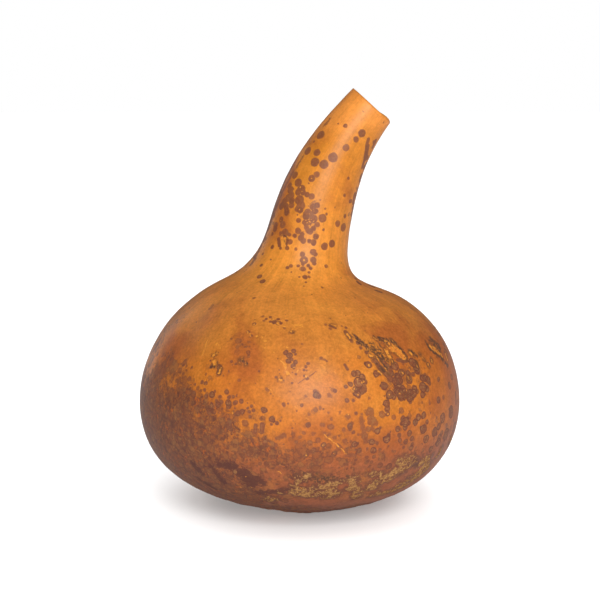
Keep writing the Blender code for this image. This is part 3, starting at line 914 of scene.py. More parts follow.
class Nodes:
    """Adds nodes to a tree. A value may be a number, a colour, a vector or another's socket."""

    def __init__(self, tree, groups=None):
        self.tree = tree
        self.groups = groups

    def feed(self, socket, value):
        if isinstance(value, bpy.types.NodeSocket):
            self.tree.links.new(value, socket)
        else:
            socket.default_value = value

    def add(self, kind, inputs, **settings):
        node = self.tree.nodes.new(kind)
        for name, value in settings.items():
            setattr(node, name, value)
        for name, value in inputs.items():
            self.feed(node.inputs[name], value)
        return node

    def math(self, operation, *values):
        inputs = dict(enumerate(values))
        return self.add("ShaderNodeMath", inputs, operation=operation).outputs[0]

    def chain(self, operation, first, others):
        for other in others:
            first = self.math(operation, first, other)
        return first

    def sum(self, first, *others):
        return self.chain("ADD", first, others)

    def product(self, first, *others):
        return self.chain("MULTIPLY", first, others)

    def most(self, first, *others):
        return self.chain("MAXIMUM", first, others)

    def less(self, value, taken):
        return self.math("SUBTRACT", value, taken)

    def centred(self, tone, reach, middle=0.5):
        """How far a tone lies above the middle, times a reach."""
        return self.product(self.less(tone, middle), reach)

    def rise(self, value, low, high, least=0.0, most=1.0):
        """A soft step from least to most as the value goes from low to high."""
        inputs = {"Value": value, "From Min": low, "From Max": high, "To Min": least, "To Max": most}
        node = self.add("ShaderNodeMapRange", inputs, interpolation_type="SMOOTHSTEP")
        return node.outputs["Result"]

    def vector(self, operation, *values):
        node = self.add("ShaderNodeVectorMath", dict(enumerate(values)), operation=operation)
        return node.outputs["Value" if operation in ("LENGTH", "DOT_PRODUCT") else "Vector"]

    def scaled(self, vector, factor):
        inputs = {"Vector": vector, "Scale": factor}
        return self.add("ShaderNodeVectorMath", inputs, operation="SCALE").outputs["Vector"]

    def split(self, vector):
        return self.add("ShaderNodeSeparateXYZ", {"Vector": vector}).outputs

    def join(self, x, y, z):
        inputs = {"X": x, "Y": y, "Z": z}
        return self.add("ShaderNodeCombineXYZ", inputs).outputs["Vector"]

    def mix(self, share, first, second):
        inputs = {0: share, 6: first, 7: second}
        return self.add("ShaderNodeMix", inputs, data_type="RGBA").outputs[2]

    def per(self, size):
        """One over a size, which may be a socket."""
        if isinstance(size, bpy.types.NodeSocket):
            return self.math("DIVIDE", 1.0, size)
        return 1.0 / size

    def noise_node(self, place, size, detail=2.0, rough=0.5, warp=0.0):
        """Noise whose features are about size across, in the units of the place."""
        inputs = {
            "Vector": place,
            "Scale": self.per(size),
            "Detail": detail,
            "Roughness": rough,
            "Distortion": warp,
        }
        return self.add("ShaderNodeTexNoise", inputs)

    def noise(self, place, size, **make):
        return self.noise_node(place, size, **make).outputs[0]

    def cells(self, place, size):
        inputs = {"Vector": place, "Scale": self.per(size)}
        return self.add("ShaderNodeTexVoronoi", inputs).outputs

    def attribute(self, name, output="Fac"):
        return self.add("ShaderNodeAttribute", {}, attribute_name=name).outputs[output]

    def use(self, group, **inputs):
        """Places one of the shared groups."""
        node = self.tree.nodes.new("ShaderNodeGroup")
        node.node_tree = self.groups[group]
        for name, value in inputs.items():
            self.feed(node.inputs[name], value)
        return node.outputs

    def mottle(self, place, size, contrast):
        return self.use("mottle", Place=place, Size=size, Contrast=contrast)["Tone"]

    def streaks(self, grain, across, along):
        return self.use("streaks", Grain=grain, Round=across, Along=along)["Tone"]

    def specks(self, place, cell, field, largest):
        return self.use("specks", Place=place, Cell=cell, Field=field, Largest=largest)

    def wavered(self, place, *wavers):
        for size, shift in wavers:
            place = self.use("waver", Place=place, Size=size, Shift=shift)["Place"]
        return place

    def field(self, name, kind="FLOAT"):
        """A named attribute in a Geometry Nodes tree."""
        inputs = {"Name": name}
        node = self.add("GeometryNodeInputNamedAttribute", inputs, data_type=kind)
        return node.outputs["Attribute"]

    def has_finish(self, number):
        """Which faces have a finish, in a Geometry Nodes tree."""
        inputs = {2: self.field("finish", "INT"), 3: number}
        node = self.add("FunctionNodeCompare", inputs, data_type="INT", operation="EQUAL")
        return node.outputs["Result"]


def new_group(name, inputs, outputs):
    """A shader node group with named sockets, its nodes, its inputs and its output node."""
    group = bpy.data.node_groups.new(name, "ShaderNodeTree")
    for label, kind, default in inputs:
        socket = group.interface.new_socket(label, in_out="INPUT", socket_type=kind)
        if default is not None:
            socket.default_value = default
    for label, kind in outputs:
        group.interface.new_socket(label, in_out="OUTPUT", socket_type=kind)
    nodes = Nodes(group)
    given = nodes.add("NodeGroupInput", {}).outputs
    result = nodes.add("NodeGroupOutput", {})
    return group, nodes, given, result


def stroke_gap_group():
    """Distance in millimetres from a place to the edge of a round-ended stroke."""
    inputs = (
        ("Place", VECTOR, None),
        ("Start", VECTOR, None),
        ("Reach", VECTOR, None),
        ("Radius", FLOAT, 1.0),
    )
    group, nodes, given, result = new_group("stroke gap", inputs, (("Gap", FLOAT),))
    to = nodes.vector("SUBTRACT", given["Place"], given["Start"])
    along = nodes.vector("DOT_PRODUCT", to, given["Reach"])
    length = nodes.vector("DOT_PRODUCT", given["Reach"], given["Reach"])
    share = nodes.math("DIVIDE", along, nodes.most(length, 1e-5))
    share = nodes.add("ShaderNodeClamp", {"Value": share}).outputs[0]
    off = nodes.vector("SUBTRACT", to, nodes.scaled(given["Reach"], share))
    nodes.feed(result.inputs["Gap"], nodes.less(nodes.vector("LENGTH", off), given["Radius"]))
    return group


def waver_group():
    """Shifts a place by soft noise, so that what is drawn there has an uneven edge."""
    inputs = (("Place", VECTOR, None), ("Size", FLOAT, 2.0), ("Shift", FLOAT, 0.5))
    group, nodes, given, result = new_group("waver", inputs, (("Place", VECTOR),))
    noise = nodes.noise_node(given["Place"], given["Size"], detail=1.0).outputs["Color"]
    centred = nodes.vector("SUBTRACT", noise, (0.5, 0.5, 0.5))
    shift = nodes.scaled(centred, nodes.product(given["Shift"], 2.0))
    nodes.feed(result.inputs["Place"], nodes.vector("ADD", given["Place"], shift))
    return group


def mottle_group():
    """Fine uneven tone: 0.5 on average, with grain of the given size in millimetres."""
    inputs = (("Place", VECTOR, None), ("Size", FLOAT, 1.0), ("Contrast", FLOAT, 1.0))
    group, nodes, given, result = new_group("mottle", inputs, (("Tone", FLOAT),))
    noise = nodes.noise(given["Place"], given["Size"], detail=4.0, rough=0.65)
    nodes.feed(result.inputs["Tone"], nodes.sum(nodes.centred(noise, given["Contrast"]), 0.5))
    return group


def streak_group():
    """Streaks that run from the base to the mouth, from the grain attribute."""
    inputs = (("Grain", VECTOR, None), ("Round", FLOAT, 30.0), ("Along", FLOAT, 4.0))
    group, nodes, given, result = new_group("streaks", inputs, (("Tone", FLOAT),))
    x, y, z = nodes.split(given["Grain"])
    across = [nodes.product(part, given["Round"]) for part in (x, y)]
    place = nodes.join(*across, nodes.product(z, given["Along"]))
    noise = nodes.noise(place, 1.0, detail=3.0, rough=0.6, warp=0.4)
    nodes.feed(result.inputs["Tone"], noise)
    return group


def speck_group():
    """Round specks whose share of the cells grows with the field, as in mould."""
    inputs = (
        ("Place", VECTOR, None),
        ("Cell", FLOAT, 5.0),
        ("Field", FLOAT, 0.5),
        ("Largest", FLOAT, 0.5),
    )
    outputs = (("Gap", FLOAT), ("Tone", FLOAT))
    group, nodes, given, result = new_group("mould specks", inputs, outputs)
    cells = nodes.cells(given["Place"], given["Cell"])
    parts = nodes.add("ShaderNodeSeparateColor", {"Color": cells["Color"]}).outputs
    chance = nodes.less(given["Field"], parts["Red"])
    size = nodes.rise(chance, 0.0, 0.3)
    spread = nodes.rise(parts["Green"], 0.0, 1.0, 0.6, 1.0)
    inside = nodes.less(cells["Distance"], nodes.product(size, spread, given["Largest"]))
    nodes.feed(result.inputs["Gap"], nodes.product(inside, given["Cell"]))
    nodes.feed(result.inputs["Tone"], parts["Blue"])
    return group


def make_groups():
    return {
        "stroke": stroke_gap_group(),
        "waver": waver_group(),
        "mottle": mottle_group(),
        "streaks": streak_group(),
        "specks": speck_group(),
    }


def new_material(name, groups=None):
    material = bpy.data.materials.new(name)
    material.use_nodes = True
    nodes = Nodes(material.node_tree, groups)
    return material, nodes, material.node_tree.nodes["Principled BSDF"]


def millimetres(nodes):
    """The place on the object in millimetres."""
    return nodes.scaled(nodes.add("ShaderNodeTexCoord", {}).outputs["Object"], 1.0 / MM)


def add_bump(nodes, shader, lift, strength):
    """Bump from a height in millimetres."""
    inputs = {"Strength": strength, "Distance": MM, "Height": lift}
    nodes.feed(shader.inputs["Normal"], nodes.add("ShaderNodeBump", inputs).outputs["Normal"])


# Colours, as a screen shows them.
NECK_GOLD = colour(207, 127, 39)
NECK_ORANGE = colour(220, 138, 50)
BELLY_ORANGE = colour(199, 115, 39)
SHOULDER_BROWN = colour(200, 122, 47)
ROOT_ORANGE = colour(218, 136, 55)
# lighter orange for the neck's top: a painted highlight
NECK_TOP_HIGHLIGHT = colour(230, 144, 62)
LOW_RED = colour(162, 90, 54)
BASE_BROWN = colour(168, 106, 80)
RUDDY = colour(156, 76, 38)
GOLDEN = colour(220, 142, 56)
NECK_MOULD = colour(142, 82, 50)
BELLY_MOULD = colour(140, 80, 52)
# dark rims of mould; also the darkness of the painted shade along the neck's left outline
MOULD_RIM_AND_EDGE_SHADE = colour(88, 48, 42)
MOULD_HEART = colour(164, 112, 66)
PINHOLE = colour(232, 156, 58)
STAIN_BROWN = colour(136, 78, 46)
STAIN_TAN = colour(162, 108, 58)
STAIN_DARK = colour(88, 52, 46)
STAIN_RUST = colour(184, 92, 38)
PORE = colour(108, 62, 40)
SCAR_GOLD = colour(226, 146, 54)
SCAR_ORANGE = colour(214, 124, 48)
SCAR_EDGE = colour(118, 72, 42)
CRACK = colour(82, 58, 44)
OLIVE = colour(124, 86, 50)
CRUST_TAN = colour(190, 138, 80)
CRUST_BROWN = colour(128, 82, 52)
CRUST_BED = colour(112, 66, 48)
SAWN_PALE = colour(214, 168, 108)
SAWN_DARK = colour(160, 104, 58)
PAPER_BROWN = colour(168, 116, 66)
PAPER_DARK = colour(98, 60, 36)

# Bands of the rind's colour, the highest of them a painted highlight: height in mm and colour.
RIND_BANDS = (
    (0.0, BASE_BROWN),
    (10.0, BASE_BROWN),
    (28.0, LOW_RED),
    (44.0, LOW_RED),
    (74.0, BELLY_ORANGE),
    (100.0, BELLY_ORANGE),
    (120.0, SHOULDER_BROWN),
    (138.0, ROOT_ORANGE),
    (156.0, NECK_ORANGE),
    (226.0, NECK_GOLD),
    # the neck's top is lighter: painted highlight
    (244.0, NECK_TOP_HIGHLIGHT),
    (262.0, NECK_TOP_HIGHLIGHT),
)
TALLEST = 262.0

# Sizes of the finishes' grain are in mm. A mottle is its size and contrast, a waver its size
# and shift, and streaks are how many of them lie round the gourd and along it. A fade is where
# a finish starts and where it is full, as a gap in mm to the edge of a mark or as a tone.
BLOTCH_SIZE = 26.0
BLOTCH_REACH = 3.0
MOST_RUDDY = 0.62
MOST_GOLDEN = 0.6
WIDE_STREAKS = (8.0, 3.0)
FINE_STREAKS = (40.0, 8.0)
STREAKED = (80.0, 130.0, 0.25, 1.0)  # heights between which the streaks grow, and how much
RIND_MOTTLE = (1.6, 0.95)
RIND_CLOUD = (7.0, 0.6)
SMOOTHER = (120.0, 170.0, 1.0, 0.6)  # heights between which the mottle weakens, and how much
PORES = (6.5, 0.3, 0.1)  # cell in mm, share of the cells, and radius in cells


def height_bands(nodes, height):
    ramp = nodes.add("ShaderNodeValToRGB", {"Fac": nodes.math("DIVIDE", height, TALLEST)})
    ramp.color_ramp.interpolation = "EASE"
    stops = ramp.color_ramp.elements
    while len(stops) < len(RIND_BANDS):
        stops.new(0.5)
    for stop, (level, shade) in zip(stops, RIND_BANDS):
        stop.position = level / TALLEST
        stop.color = shade
    return ramp.outputs["Color"]


def plain_rind(nodes, place, height):
    """Colour of the sound rind: bands by height, the top one a painted highlight, tints partly of
    painted shade, blotches, streaks and fine grain.
    """
    shade = height_bands(nodes, height)
    blotch = nodes.noise(place, BLOTCH_SIZE, detail=5.0, rough=0.6, warp=0.5)
    tint = nodes.sum(nodes.attribute("tint"), nodes.centred(blotch, BLOTCH_REACH))
    shade = nodes.mix(nodes.rise(tint, 0.0, 1.0, 0.0, MOST_RUDDY), shade, RUDDY)
    shade = nodes.mix(nodes.rise(tint, 0.0, -1.0, 0.0, MOST_GOLDEN), shade, GOLDEN)
    grain = nodes.attribute("grain", "Vector")
    high = nodes.rise(height, *STREAKED)
    fine = nodes.product(nodes.centred(nodes.streaks(grain, *FINE_STREAKS), 0.35), high)
    wide = nodes.product(nodes.centred(nodes.streaks(grain, *WIDE_STREAKS), 0.45), high)
    mottle = nodes.less(nodes.mottle(place, *RIND_MOTTLE), 0.5)
    mottle = nodes.product(mottle, nodes.rise(height, *SMOOTHER))
    cloud = nodes.mottle(place, *RIND_CLOUD)
    shade = nodes.scaled(shade, nodes.sum(fine, wide, mottle, cloud, 0.5))
    pores = nodes.specks(place, *PORES)["Gap"]
    return nodes.mix(nodes.rise(pores, 0.2, -0.25, 0.0, 0.8), shade, PORE)


# Sizes of the spots in a stain. The pale ones spread further than the dark ones.
SPOT_SIZES = (
    # cell in mm, radius of the largest in cells, how dark, and what is added to the field
    (7.5, 0.6, 0.6, 0.0),
    (5.2, 0.6, 0.26, 0.3),
    (4.2, 0.62, 0.65, 0.0),
    (3.0, 0.5, 0.24, 0.25),
    (2.2, 0.52, 0.7, 0.0),
)
# Flecks in a stain: shift of the noise in mm, its size, where it starts and ends, and colour.
STAIN_FLECKS = (
    ((0.0, 0.0, 0.0), 2.8, 0.53, 0.63, STAIN_TAN),
    ((31.0, 7.0, 0.0), 2.7, 0.52, 0.60, STAIN_RUST),
    ((0.0, 43.0, 9.0), 2.8, 0.48, 0.56, STAIN_DARK),
)
FLECK_STRETCH = (1.0, 1.0, 0.85)  # makes the flecks a little taller than wide
STAIN_DRIFT = 12.0
STAIN_RAGGED = 3.4
STAIN_FADE = (0.38, 0.82)
STAIN_WAVER = (3.0, 1.0)
SPOT_FADE = (0.3, -0.3)
SPOT_RIM_FADE = (-1.0, -0.3)
SPOT_RIM = 0.6  # how dark a spot's rim is


def lay_spots(nodes, place, field, shade, cell, largest, cover):
    """One size of mould spot, more of them where the field is high."""
    spots = nodes.specks(place, cell, field, largest)
    there = nodes.product(nodes.rise(spots["Gap"], *SPOT_FADE), cover)
    rim = nodes.product(nodes.rise(spots["Gap"], *SPOT_RIM_FADE), SPOT_RIM)
    inner = nodes.mix(nodes.rise(spots["Tone"], 0.3, 0.9), STAIN_BROWN, STAIN_TAN)
    inner = nodes.mix(0.35, inner, BELLY_MOULD)
    return nodes.mix(there, shade, nodes.mix(rim, inner, STAIN_DARK))


def stain_ground(nodes, place):
    """The brown of a stain, with its tan, rusty and dark flecks."""
    upright = nodes.vector("MULTIPLY", place, FLECK_STRETCH)
    ground = STAIN_BROWN
    for shift, size, least, most, tint in STAIN_FLECKS:
        shifted = nodes.vector("ADD", upright, shift)
        fleck = nodes.noise(shifted, size, detail=4.0, rough=0.65, warp=0.5)
        ground = nodes.mix(nodes.rise(fleck, least, most, 0.0, 0.9), ground, tint)
    return ground


def lay_stains(nodes, place, shade):
    """Broad mould: a flecked brown ground, and spots that grow together where it is heavy."""
    stain = nodes.attribute("stain")
    drift = nodes.noise(place, STAIN_DRIFT, detail=4.0, rough=0.6)
    field = nodes.sum(stain, nodes.centred(drift, 1.2))
    ragged = nodes.noise(place, STAIN_RAGGED, detail=5.0, rough=0.7, warp=0.6)
    reach = nodes.sum(field, nodes.centred(ragged, 1.4))
    cover = nodes.rise(reach, *STAIN_FADE, 0.0, 0.9)
    shade = nodes.mix(cover, shade, stain_ground(nodes, place))
    uneven = nodes.wavered(place, STAIN_WAVER)
    for cell, largest, strength, more in SPOT_SIZES:
        wider = nodes.sum(field, nodes.rise(stain, 0.05, 0.3, 0.0, more))
        shade = lay_spots(nodes, uneven, wider, shade, cell, largest, strength)
    return shade, cover


# The separate spots of mould, and painted shade along the neck's left outline. On the belly, small
# round lobes make their edges.
BELLY_BELOW = (170.0, 135.0)  # heights in mm between which the neck's spots become the belly's
LOBE = 2.6  # size in mm of the lobes' cells
LOBE_REACH = 0.55  # radius of a lobe at most, in cells
LOBE_SHARE = 0.75  # radius of a lobe at most, in radii of its mark
INSET = (0.75, 0.35)  # how far the lobes' middles lie inside, in lobes, on neck and belly
BROAD_MARKS = (1.0, 2.6, 0.35, 1.0)  # radii between which the rim and the mottles grow
MOULD_RIM_FADE = (-1.0, -0.35)
MOULD_WAVERS = ((4.0, 0.45), (1.3, 0.2))
MOULD_MOTTLE = (1.9, 3.0)
MOULD_GRAIN = (1.4, 3.4)
PINHOLES = (3.4, 0.32, 0.16)  # cell in mm, share of the cells, and radius in cells


def near_mark(nodes, kind, rank):
    """One of the strokes that this face is nearest to: its ends, radius, strength, darkness."""
    name = f"{kind}_{rank}"
    radius, strength, dark = nodes.split(nodes.attribute(f"{name}_make", "Vector"))
    start = nodes.attribute(f"{name}_start", "Vector")
    reach = nodes.attribute(f"{name}_reach", "Vector")
    return {"Start": start, "Reach": reach, "Radius": radius}, strength, dark


def scalloped(nodes, place, form, cells, belly):
    """Gap to a mark whose edge is made of small round lobes, stronger on the belly."""
    gap = nodes.use("stroke", Place=place, **form)["Gap"]
    lobe = nodes.math("MINIMUM", nodes.product(form["Radius"], LOBE_SHARE), LOBE_REACH * LOBE)
    disc = nodes.less(cells["Distance"], nodes.math("DIVIDE", lobe, LOBE))
    centre = nodes.use("stroke", Place=cells["Position"], **form)["Gap"]
    inset = nodes.product(lobe, nodes.rise(belly, 0.0, 1.0, *INSET))
    disc = nodes.most(nodes.product(disc, LOBE), nodes.sum(centre, inset))
    shrunk = nodes.sum(gap, nodes.product(belly, 0.3))
    return nodes.sum(nodes.math("MINIMUM", shrunk, disc), -0.12)


def mark_cover(nodes, place, broken, belly):
    """How far marks cover each place, and how far their rims, dark ones and broad ones do."""
    cells = nodes.cells(place, LOBE)
    covers = [0.0, 0.0, 0.0, 0.0]
    for rank in range(NEAR_MARKS["mould"]):
        form, strength, dark = near_mark(nodes, "mould", rank)
        size = nodes.rise(form["Radius"], *BROAD_MARKS)
        ragged = nodes.sum(nodes.less(1.0, strength), nodes.rise(dark, 0.3, 0.8, 0.0, 0.8))
        gap = scalloped(nodes, place, form, cells, belly)
        gap = nodes.sum(gap, nodes.product(broken, ragged))
        blur = nodes.sum(nodes.product(ragged, 0.8), 0.3)
        there = nodes.product(nodes.rise(gap, blur, nodes.product(blur, -1.0)), strength)
        rim = nodes.product(nodes.rise(gap, *MOULD_RIM_FADE), there, size)
        found = (there, rim, nodes.product(there, dark), nodes.product(there, size))
        covers = [nodes.most(*pair) for pair in zip(covers, found)]
    return covers


def lay_mould(nodes, place, height, shade):
    """The separate mould spots, ringed and mottled on the belly and more even on the neck, and a
    dark line of painted shade along the neck's left outline.
    """
    belly = nodes.rise(height, *BELLY_BELOW)
    tone = nodes.mottle(place, *MOULD_MOTTLE)
    fine = nodes.mottle(place, *MOULD_GRAIN)
    broken = nodes.centred(tone, 4.0, middle=0.45)
    uneven = nodes.wavered(place, *MOULD_WAVERS)
    cover, rims, dark_marks_and_edge_shade, broad = mark_cover(nodes, uneven, broken, belly)
    ringed = nodes.product(belly, 0.65)
    detail = nodes.product(nodes.sum(ringed, 0.35), broad)
    both = nodes.sum(tone, fine)
    spot = nodes.mix(belly, NECK_MOULD, BELLY_MOULD)
    spot = nodes.mix(nodes.product(nodes.rise(both, 0.85, 1.5), detail), spot, MOULD_HEART)
    seams = nodes.product(nodes.rise(both, 0.85, 0.4), detail, 0.6)
    rim = nodes.product(rims, nodes.sum(ringed, 0.15))
    # darker where rims and dark marks are, and along the neck's left outline, where it is painted
    # shade
    spot = nodes.mix(nodes.most(rim, seams, dark_marks_and_edge_shade), spot, MOULD_RIM_AND_EDGE_SHADE)
    pins = nodes.specks(place, *PINHOLES)["Gap"]
    spot = nodes.mix(nodes.rise(pins, 0.15, -0.25, 0.0, 0.9), spot, PINHOLE)
    there = nodes.product(cover, nodes.rise(tone, 0.0, 0.6, 0.8, 0.97))
    return nodes.mix(there, shade, spot), there


OLIVE_MOTTLE = (2.6, 3.0)
OLIVE_GRAIN = (1.4, 3.2)
OLIVE_FADE = (0.6, -0.8)


def lay_olive(nodes, place, shade):
    """Olive stains, broken up by paler and darker mottles."""
    tone = nodes.mottle(place, *OLIVE_MOTTLE)
    fine = nodes.mottle(place, *OLIVE_GRAIN)
    gap = nodes.sum(nodes.attribute("olive_gap"), nodes.centred(tone, 3.0))
    stain = nodes.mix(nodes.rise(fine, 0.35, 0.7), CRACK, OLIVE)
    broken = nodes.rise(fine, 0.72, 0.45, 0.15, 0.85)
    return nodes.mix(nodes.product(nodes.rise(gap, *OLIVE_FADE), broken), shade, stain)


SCAR_WAVERS = ((3.0, 1.0), (1.2, 0.4))
SCAR_MOTTLE = (1.8, 2.8)
SCAR_CLOUD = (3.4, 3.0)
SCAR_EDGE_FADE = (2.3, 0.4)
SCAR_HEART_FADE = (0.3, -0.2)
SCAR_DEEP_FADE = (-0.4, -1.4)
CRACK_FADE = (0.5, -0.2)


def lay_scars(nodes, place, shade):
    """Healed cracks: golden inside, with a broken dark edge."""
    uneven = nodes.wavered(place, *SCAR_WAVERS)
    form, edged, _ = near_mark(nodes, "scar", 0)
    gap = nodes.use("stroke", Place=uneven, **form)["Gap"]
    tone = nodes.mottle(place, *SCAR_MOTTLE)
    broad = nodes.rise(nodes.mottle(place, *SCAR_CLOUD), 0.3, 0.65, 0.25, 0.9)
    edge = nodes.product(nodes.rise(gap, *SCAR_EDGE_FADE), edged, broad)
    edge = nodes.product(edge, nodes.rise(tone, 0.15, 0.6, 0.45, 1.0))
    shade = nodes.mix(edge, shade, SCAR_EDGE)
    form, _, _ = near_mark(nodes, "crack", 0)
    crack = nodes.rise(nodes.use("stroke", Place=uneven, **form)["Gap"], *CRACK_FADE)
    crack = nodes.product(crack, nodes.rise(tone, 0.15, 0.6, 0.25, 0.85))
    heart = nodes.rise(nodes.sum(gap, nodes.product(edged, 0.1)), *SCAR_HEART_FADE)
    heart = nodes.product(heart, nodes.rise(tone, 0.74, 0.52, 0.1, 0.95))
    healed = nodes.mix(nodes.rise(gap, *SCAR_DEEP_FADE), SCAR_GOLD, SCAR_ORANGE)
    return nodes.mix(crack, nodes.mix(heart, shade, healed), CRACK), heart


CRUST_RAGGED = 5.0
CRUST_DENSE = 7.0
CRUST_HOLE = 2.9
CRUST_WAVER = (2.2, 1.1)
CRUST_MOTTLE = (1.2, 2.6)
CRUST_BED_FADE = (3.0, 0.0)
CRUST_FADE = (0.3, -0.8)
HOLE_FADE = (0.36, 0.54)  # in cells from the middle of a hole


def lay_crust(nodes, place, shade):
    """Tan crust full of holes, here dense and there thin, on a darker ragged bed."""
    ragged = nodes.noise(place, CRUST_RAGGED, detail=5.0, rough=0.7, warp=0.6)
    gap = nodes.sum(nodes.attribute("crust_gap"), nodes.centred(ragged, 15.0))
    shade = nodes.mix(nodes.rise(gap, *CRUST_BED_FADE, 0.0, 0.8), shade, CRUST_BED)
    holes = nodes.cells(nodes.wavered(place, CRUST_WAVER), CRUST_HOLE)["Distance"]
    dense = nodes.noise(place, CRUST_DENSE)
    holes = nodes.sum(holes, nodes.rise(dense, 0.38, 0.62, -0.16, 0.12))
    there = nodes.product(nodes.rise(gap, *CRUST_FADE), nodes.rise(holes, *HOLE_FADE))
    tone = nodes.mottle(place, *CRUST_MOTTLE)
    crust = nodes.mix(nodes.rise(tone, 0.15, 0.75), CRUST_BROWN, CRUST_TAN)
    return nodes.mix(there, shade, crust), there


RIND_IOR = 1.34
RIND_GRAIN = (1.1, 1.0)
RIND_WAVE_SIZE = 6.0
DULL_BELOW = (45.0, 8.0, 0.0, 0.16)  # heights between which the base grows duller, and how much
SMOOTHEST = 0.36
BUMP = 0.6
# What each finish adds to the roughness, and to the height in mm.
ROUGHER = {"fine": 0.14, "spotted": 0.05, "stained": 0.08, "crusted": 0.3}
HIGHER = {"waves": 0.10, "fine": 0.05, "spotted": -0.03, "crusted": 0.22, "scarred": -0.04}


def rind_material(groups):
    """Dried rind: smooth and a little glossy, stained, spotted, scarred and crusted."""
    material, nodes, shader = new_material("rind", groups)
    place = millimetres(nodes)
    height = nodes.split(place)["Z"]
    shade = plain_rind(nodes, place, height)
    parts = {}
    shade, parts["stained"] = lay_stains(nodes, place, shade)
    shade, parts["spotted"] = lay_mould(nodes, place, height, shade)
    shade = lay_olive(nodes, place, shade)
    shade, parts["crusted"] = lay_crust(nodes, place, shade)
    shade, parts["scarred"] = lay_scars(nodes, place, shade)
    nodes.feed(shader.inputs["Base Color"], shade)
    parts["fine"] = nodes.mottle(place, *RIND_GRAIN)
    parts["waves"] = nodes.noise(place, RIND_WAVE_SIZE, detail=3.0)
    rougher = [nodes.product(parts[name], share) for name, share in ROUGHER.items()]
    low = nodes.rise(height, *DULL_BELOW)
    nodes.feed(shader.inputs["Roughness"], nodes.sum(low, SMOOTHEST, *rougher))
    higher = [nodes.product(parts[name], share) for name, share in HIGHER.items()]
    add_bump(nodes, shader, nodes.sum(*higher), BUMP)
    shader.inputs["IOR"].default_value = RIND_IOR
    return material


# Dull finishes of two colours.
DULL_FINISHES = {
    # name: mottles, dark and pale colour, roughness, height of the first mottle in mm, bump
    "sawn_rind": (((0.7, 2.2), (4.0, 1.6)), (SAWN_DARK, SAWN_PALE), 0.8, 0.25, 0.8),
    "hollow_lining": (((1.4, 1.8), (12.0, 1.8)), (PAPER_DARK, PAPER_BROWN), 0.9, 0.4, 0.8),
    "crust": (((1.2, 2.2),), (CRUST_BROWN, CRUST_TAN), 0.85, 0.2, 0.6),
}


def dull_material(groups, name):
    """The fibrous sawn edge, the hollow's papery lining, or the crust's loose flakes."""
    mottles, colours, rough, lift, bump = DULL_FINISHES[name]
    material, nodes, shader = new_material(name, groups)
    place = millimetres(nodes)
    tones = [nodes.mottle(place, *mottle) for mottle in mottles]
    tone = nodes.product(nodes.sum(*tones), 1.0 / len(tones))
    nodes.feed(shader.inputs["Base Color"], nodes.mix(tone, *colours))
    shader.inputs["Roughness"].default_value = rough
    add_bump(nodes, shader, nodes.product(tones[0], lift), bump)
    return material


# Relief and flakes, made with Geometry Nodes.
RELIEF = {
    # input: kind and value
    "Waves mm": (FLOAT, 0.35),
    "Base lumps mm": (FLOAT, 1.3),
    "Crust mm": (FLOAT, 0.45),
    "Scars mm": (FLOAT, 0.15),
}
WAVE_SIZE = 26.0
LUMP_SIZE = 10.0
LUMPS_BELOW = (24.0, 5.0)  # heights in mm between which the lumps grow
CRUST_GRAIN_SIZE = 2.6
FLAKES = {
    # input: kind and value
    "Flake mm": (FLOAT, 1.1),
    "Gap mm": (FLOAT, 0.9),
    "Seed": (INTEGER, 4),
}
FLAKE_SIZES = (0.4, 1.2)  # least and greatest, in widths
FLAKE_FLATNESS = 0.3
FLAKE_FADE = (0.8, -2.0)  # gap to the edge of the crust, in mm
MOST_FLAKES = 5e5  # a square metre, before they are thinned to the gap between them


def new_geometry_tree(name, inputs):
    """A Geometry Nodes tree with named inputs, its nodes, its inputs and its output node."""
    tree = bpy.data.node_groups.new(name, "GeometryNodeTree")
    tree.interface.new_socket("Geometry", in_out="INPUT", socket_type="NodeSocketGeometry")
    for label, (kind, value) in inputs.items():
        socket = tree.interface.new_socket(label, in_out="INPUT", socket_type=kind)
        socket.default_value = value
    tree.interface.new_socket("Geometry", in_out="OUTPUT", socket_type="NodeSocketGeometry")
    nodes = Nodes(tree)
    given = nodes.add("NodeGroupInput", {}).outputs
    result = nodes.add("NodeGroupOutput", {})
    return tree, nodes, given, result


def finish_tree(nodes, result, geometry, materials):
    """Realizes a tree's instances and gives each face its finish's material."""
    inputs = {"Geometry": geometry}
    geometry = nodes.add("GeometryNodeRealizeInstances", inputs).outputs["Geometry"]
    for number, material in enumerate(materials):
        inputs = {"Geometry": geometry, "Material": material}
        if len(materials) > 1:
            inputs["Selection"] = nodes.has_finish(number)
        geometry = nodes.add("GeometryNodeSetMaterial", inputs).outputs["Geometry"]
    nodes.feed(result.inputs["Geometry"], geometry)


def centred_noise(nodes, place, size):
    return nodes.less(nodes.noise(place, size, detail=4.0), 0.5)


def relief_lift(nodes, place, given):
    """How far the skin moves outwards in mm: waves, a lumpy base, crust and sunken scars."""
    height = nodes.split(place)["Z"]
    waves = nodes.product(centred_noise(nodes, place, WAVE_SIZE), given["Waves mm"], 2.0)
    lumps = nodes.product(centred_noise(nodes, place, LUMP_SIZE), given["Base lumps mm"], 2.0)
    lumps = nodes.product(lumps, nodes.rise(height, *LUMPS_BELOW))
    crust = nodes.rise(nodes.field("crust_gap"), 1.2, -1.0)
    grain = nodes.rise(centred_noise(nodes, place, CRUST_GRAIN_SIZE), -0.15, 0.15)
    crust = nodes.product(crust, grain, given["Crust mm"])
    gap = nodes.field("scar_gap")
    sunk = nodes.product(nodes.rise(gap, 0.2, -0.6), given["Scars mm"], -1.0)
    edge = nodes.product(nodes.rise(gap, 1.2, 0.4), nodes.rise(gap, -0.4, 0.4))
    edge = nodes.product(edge, given["Scars mm"], 0.6)
    return nodes.sum(waves, lumps, crust, sunk, edge)


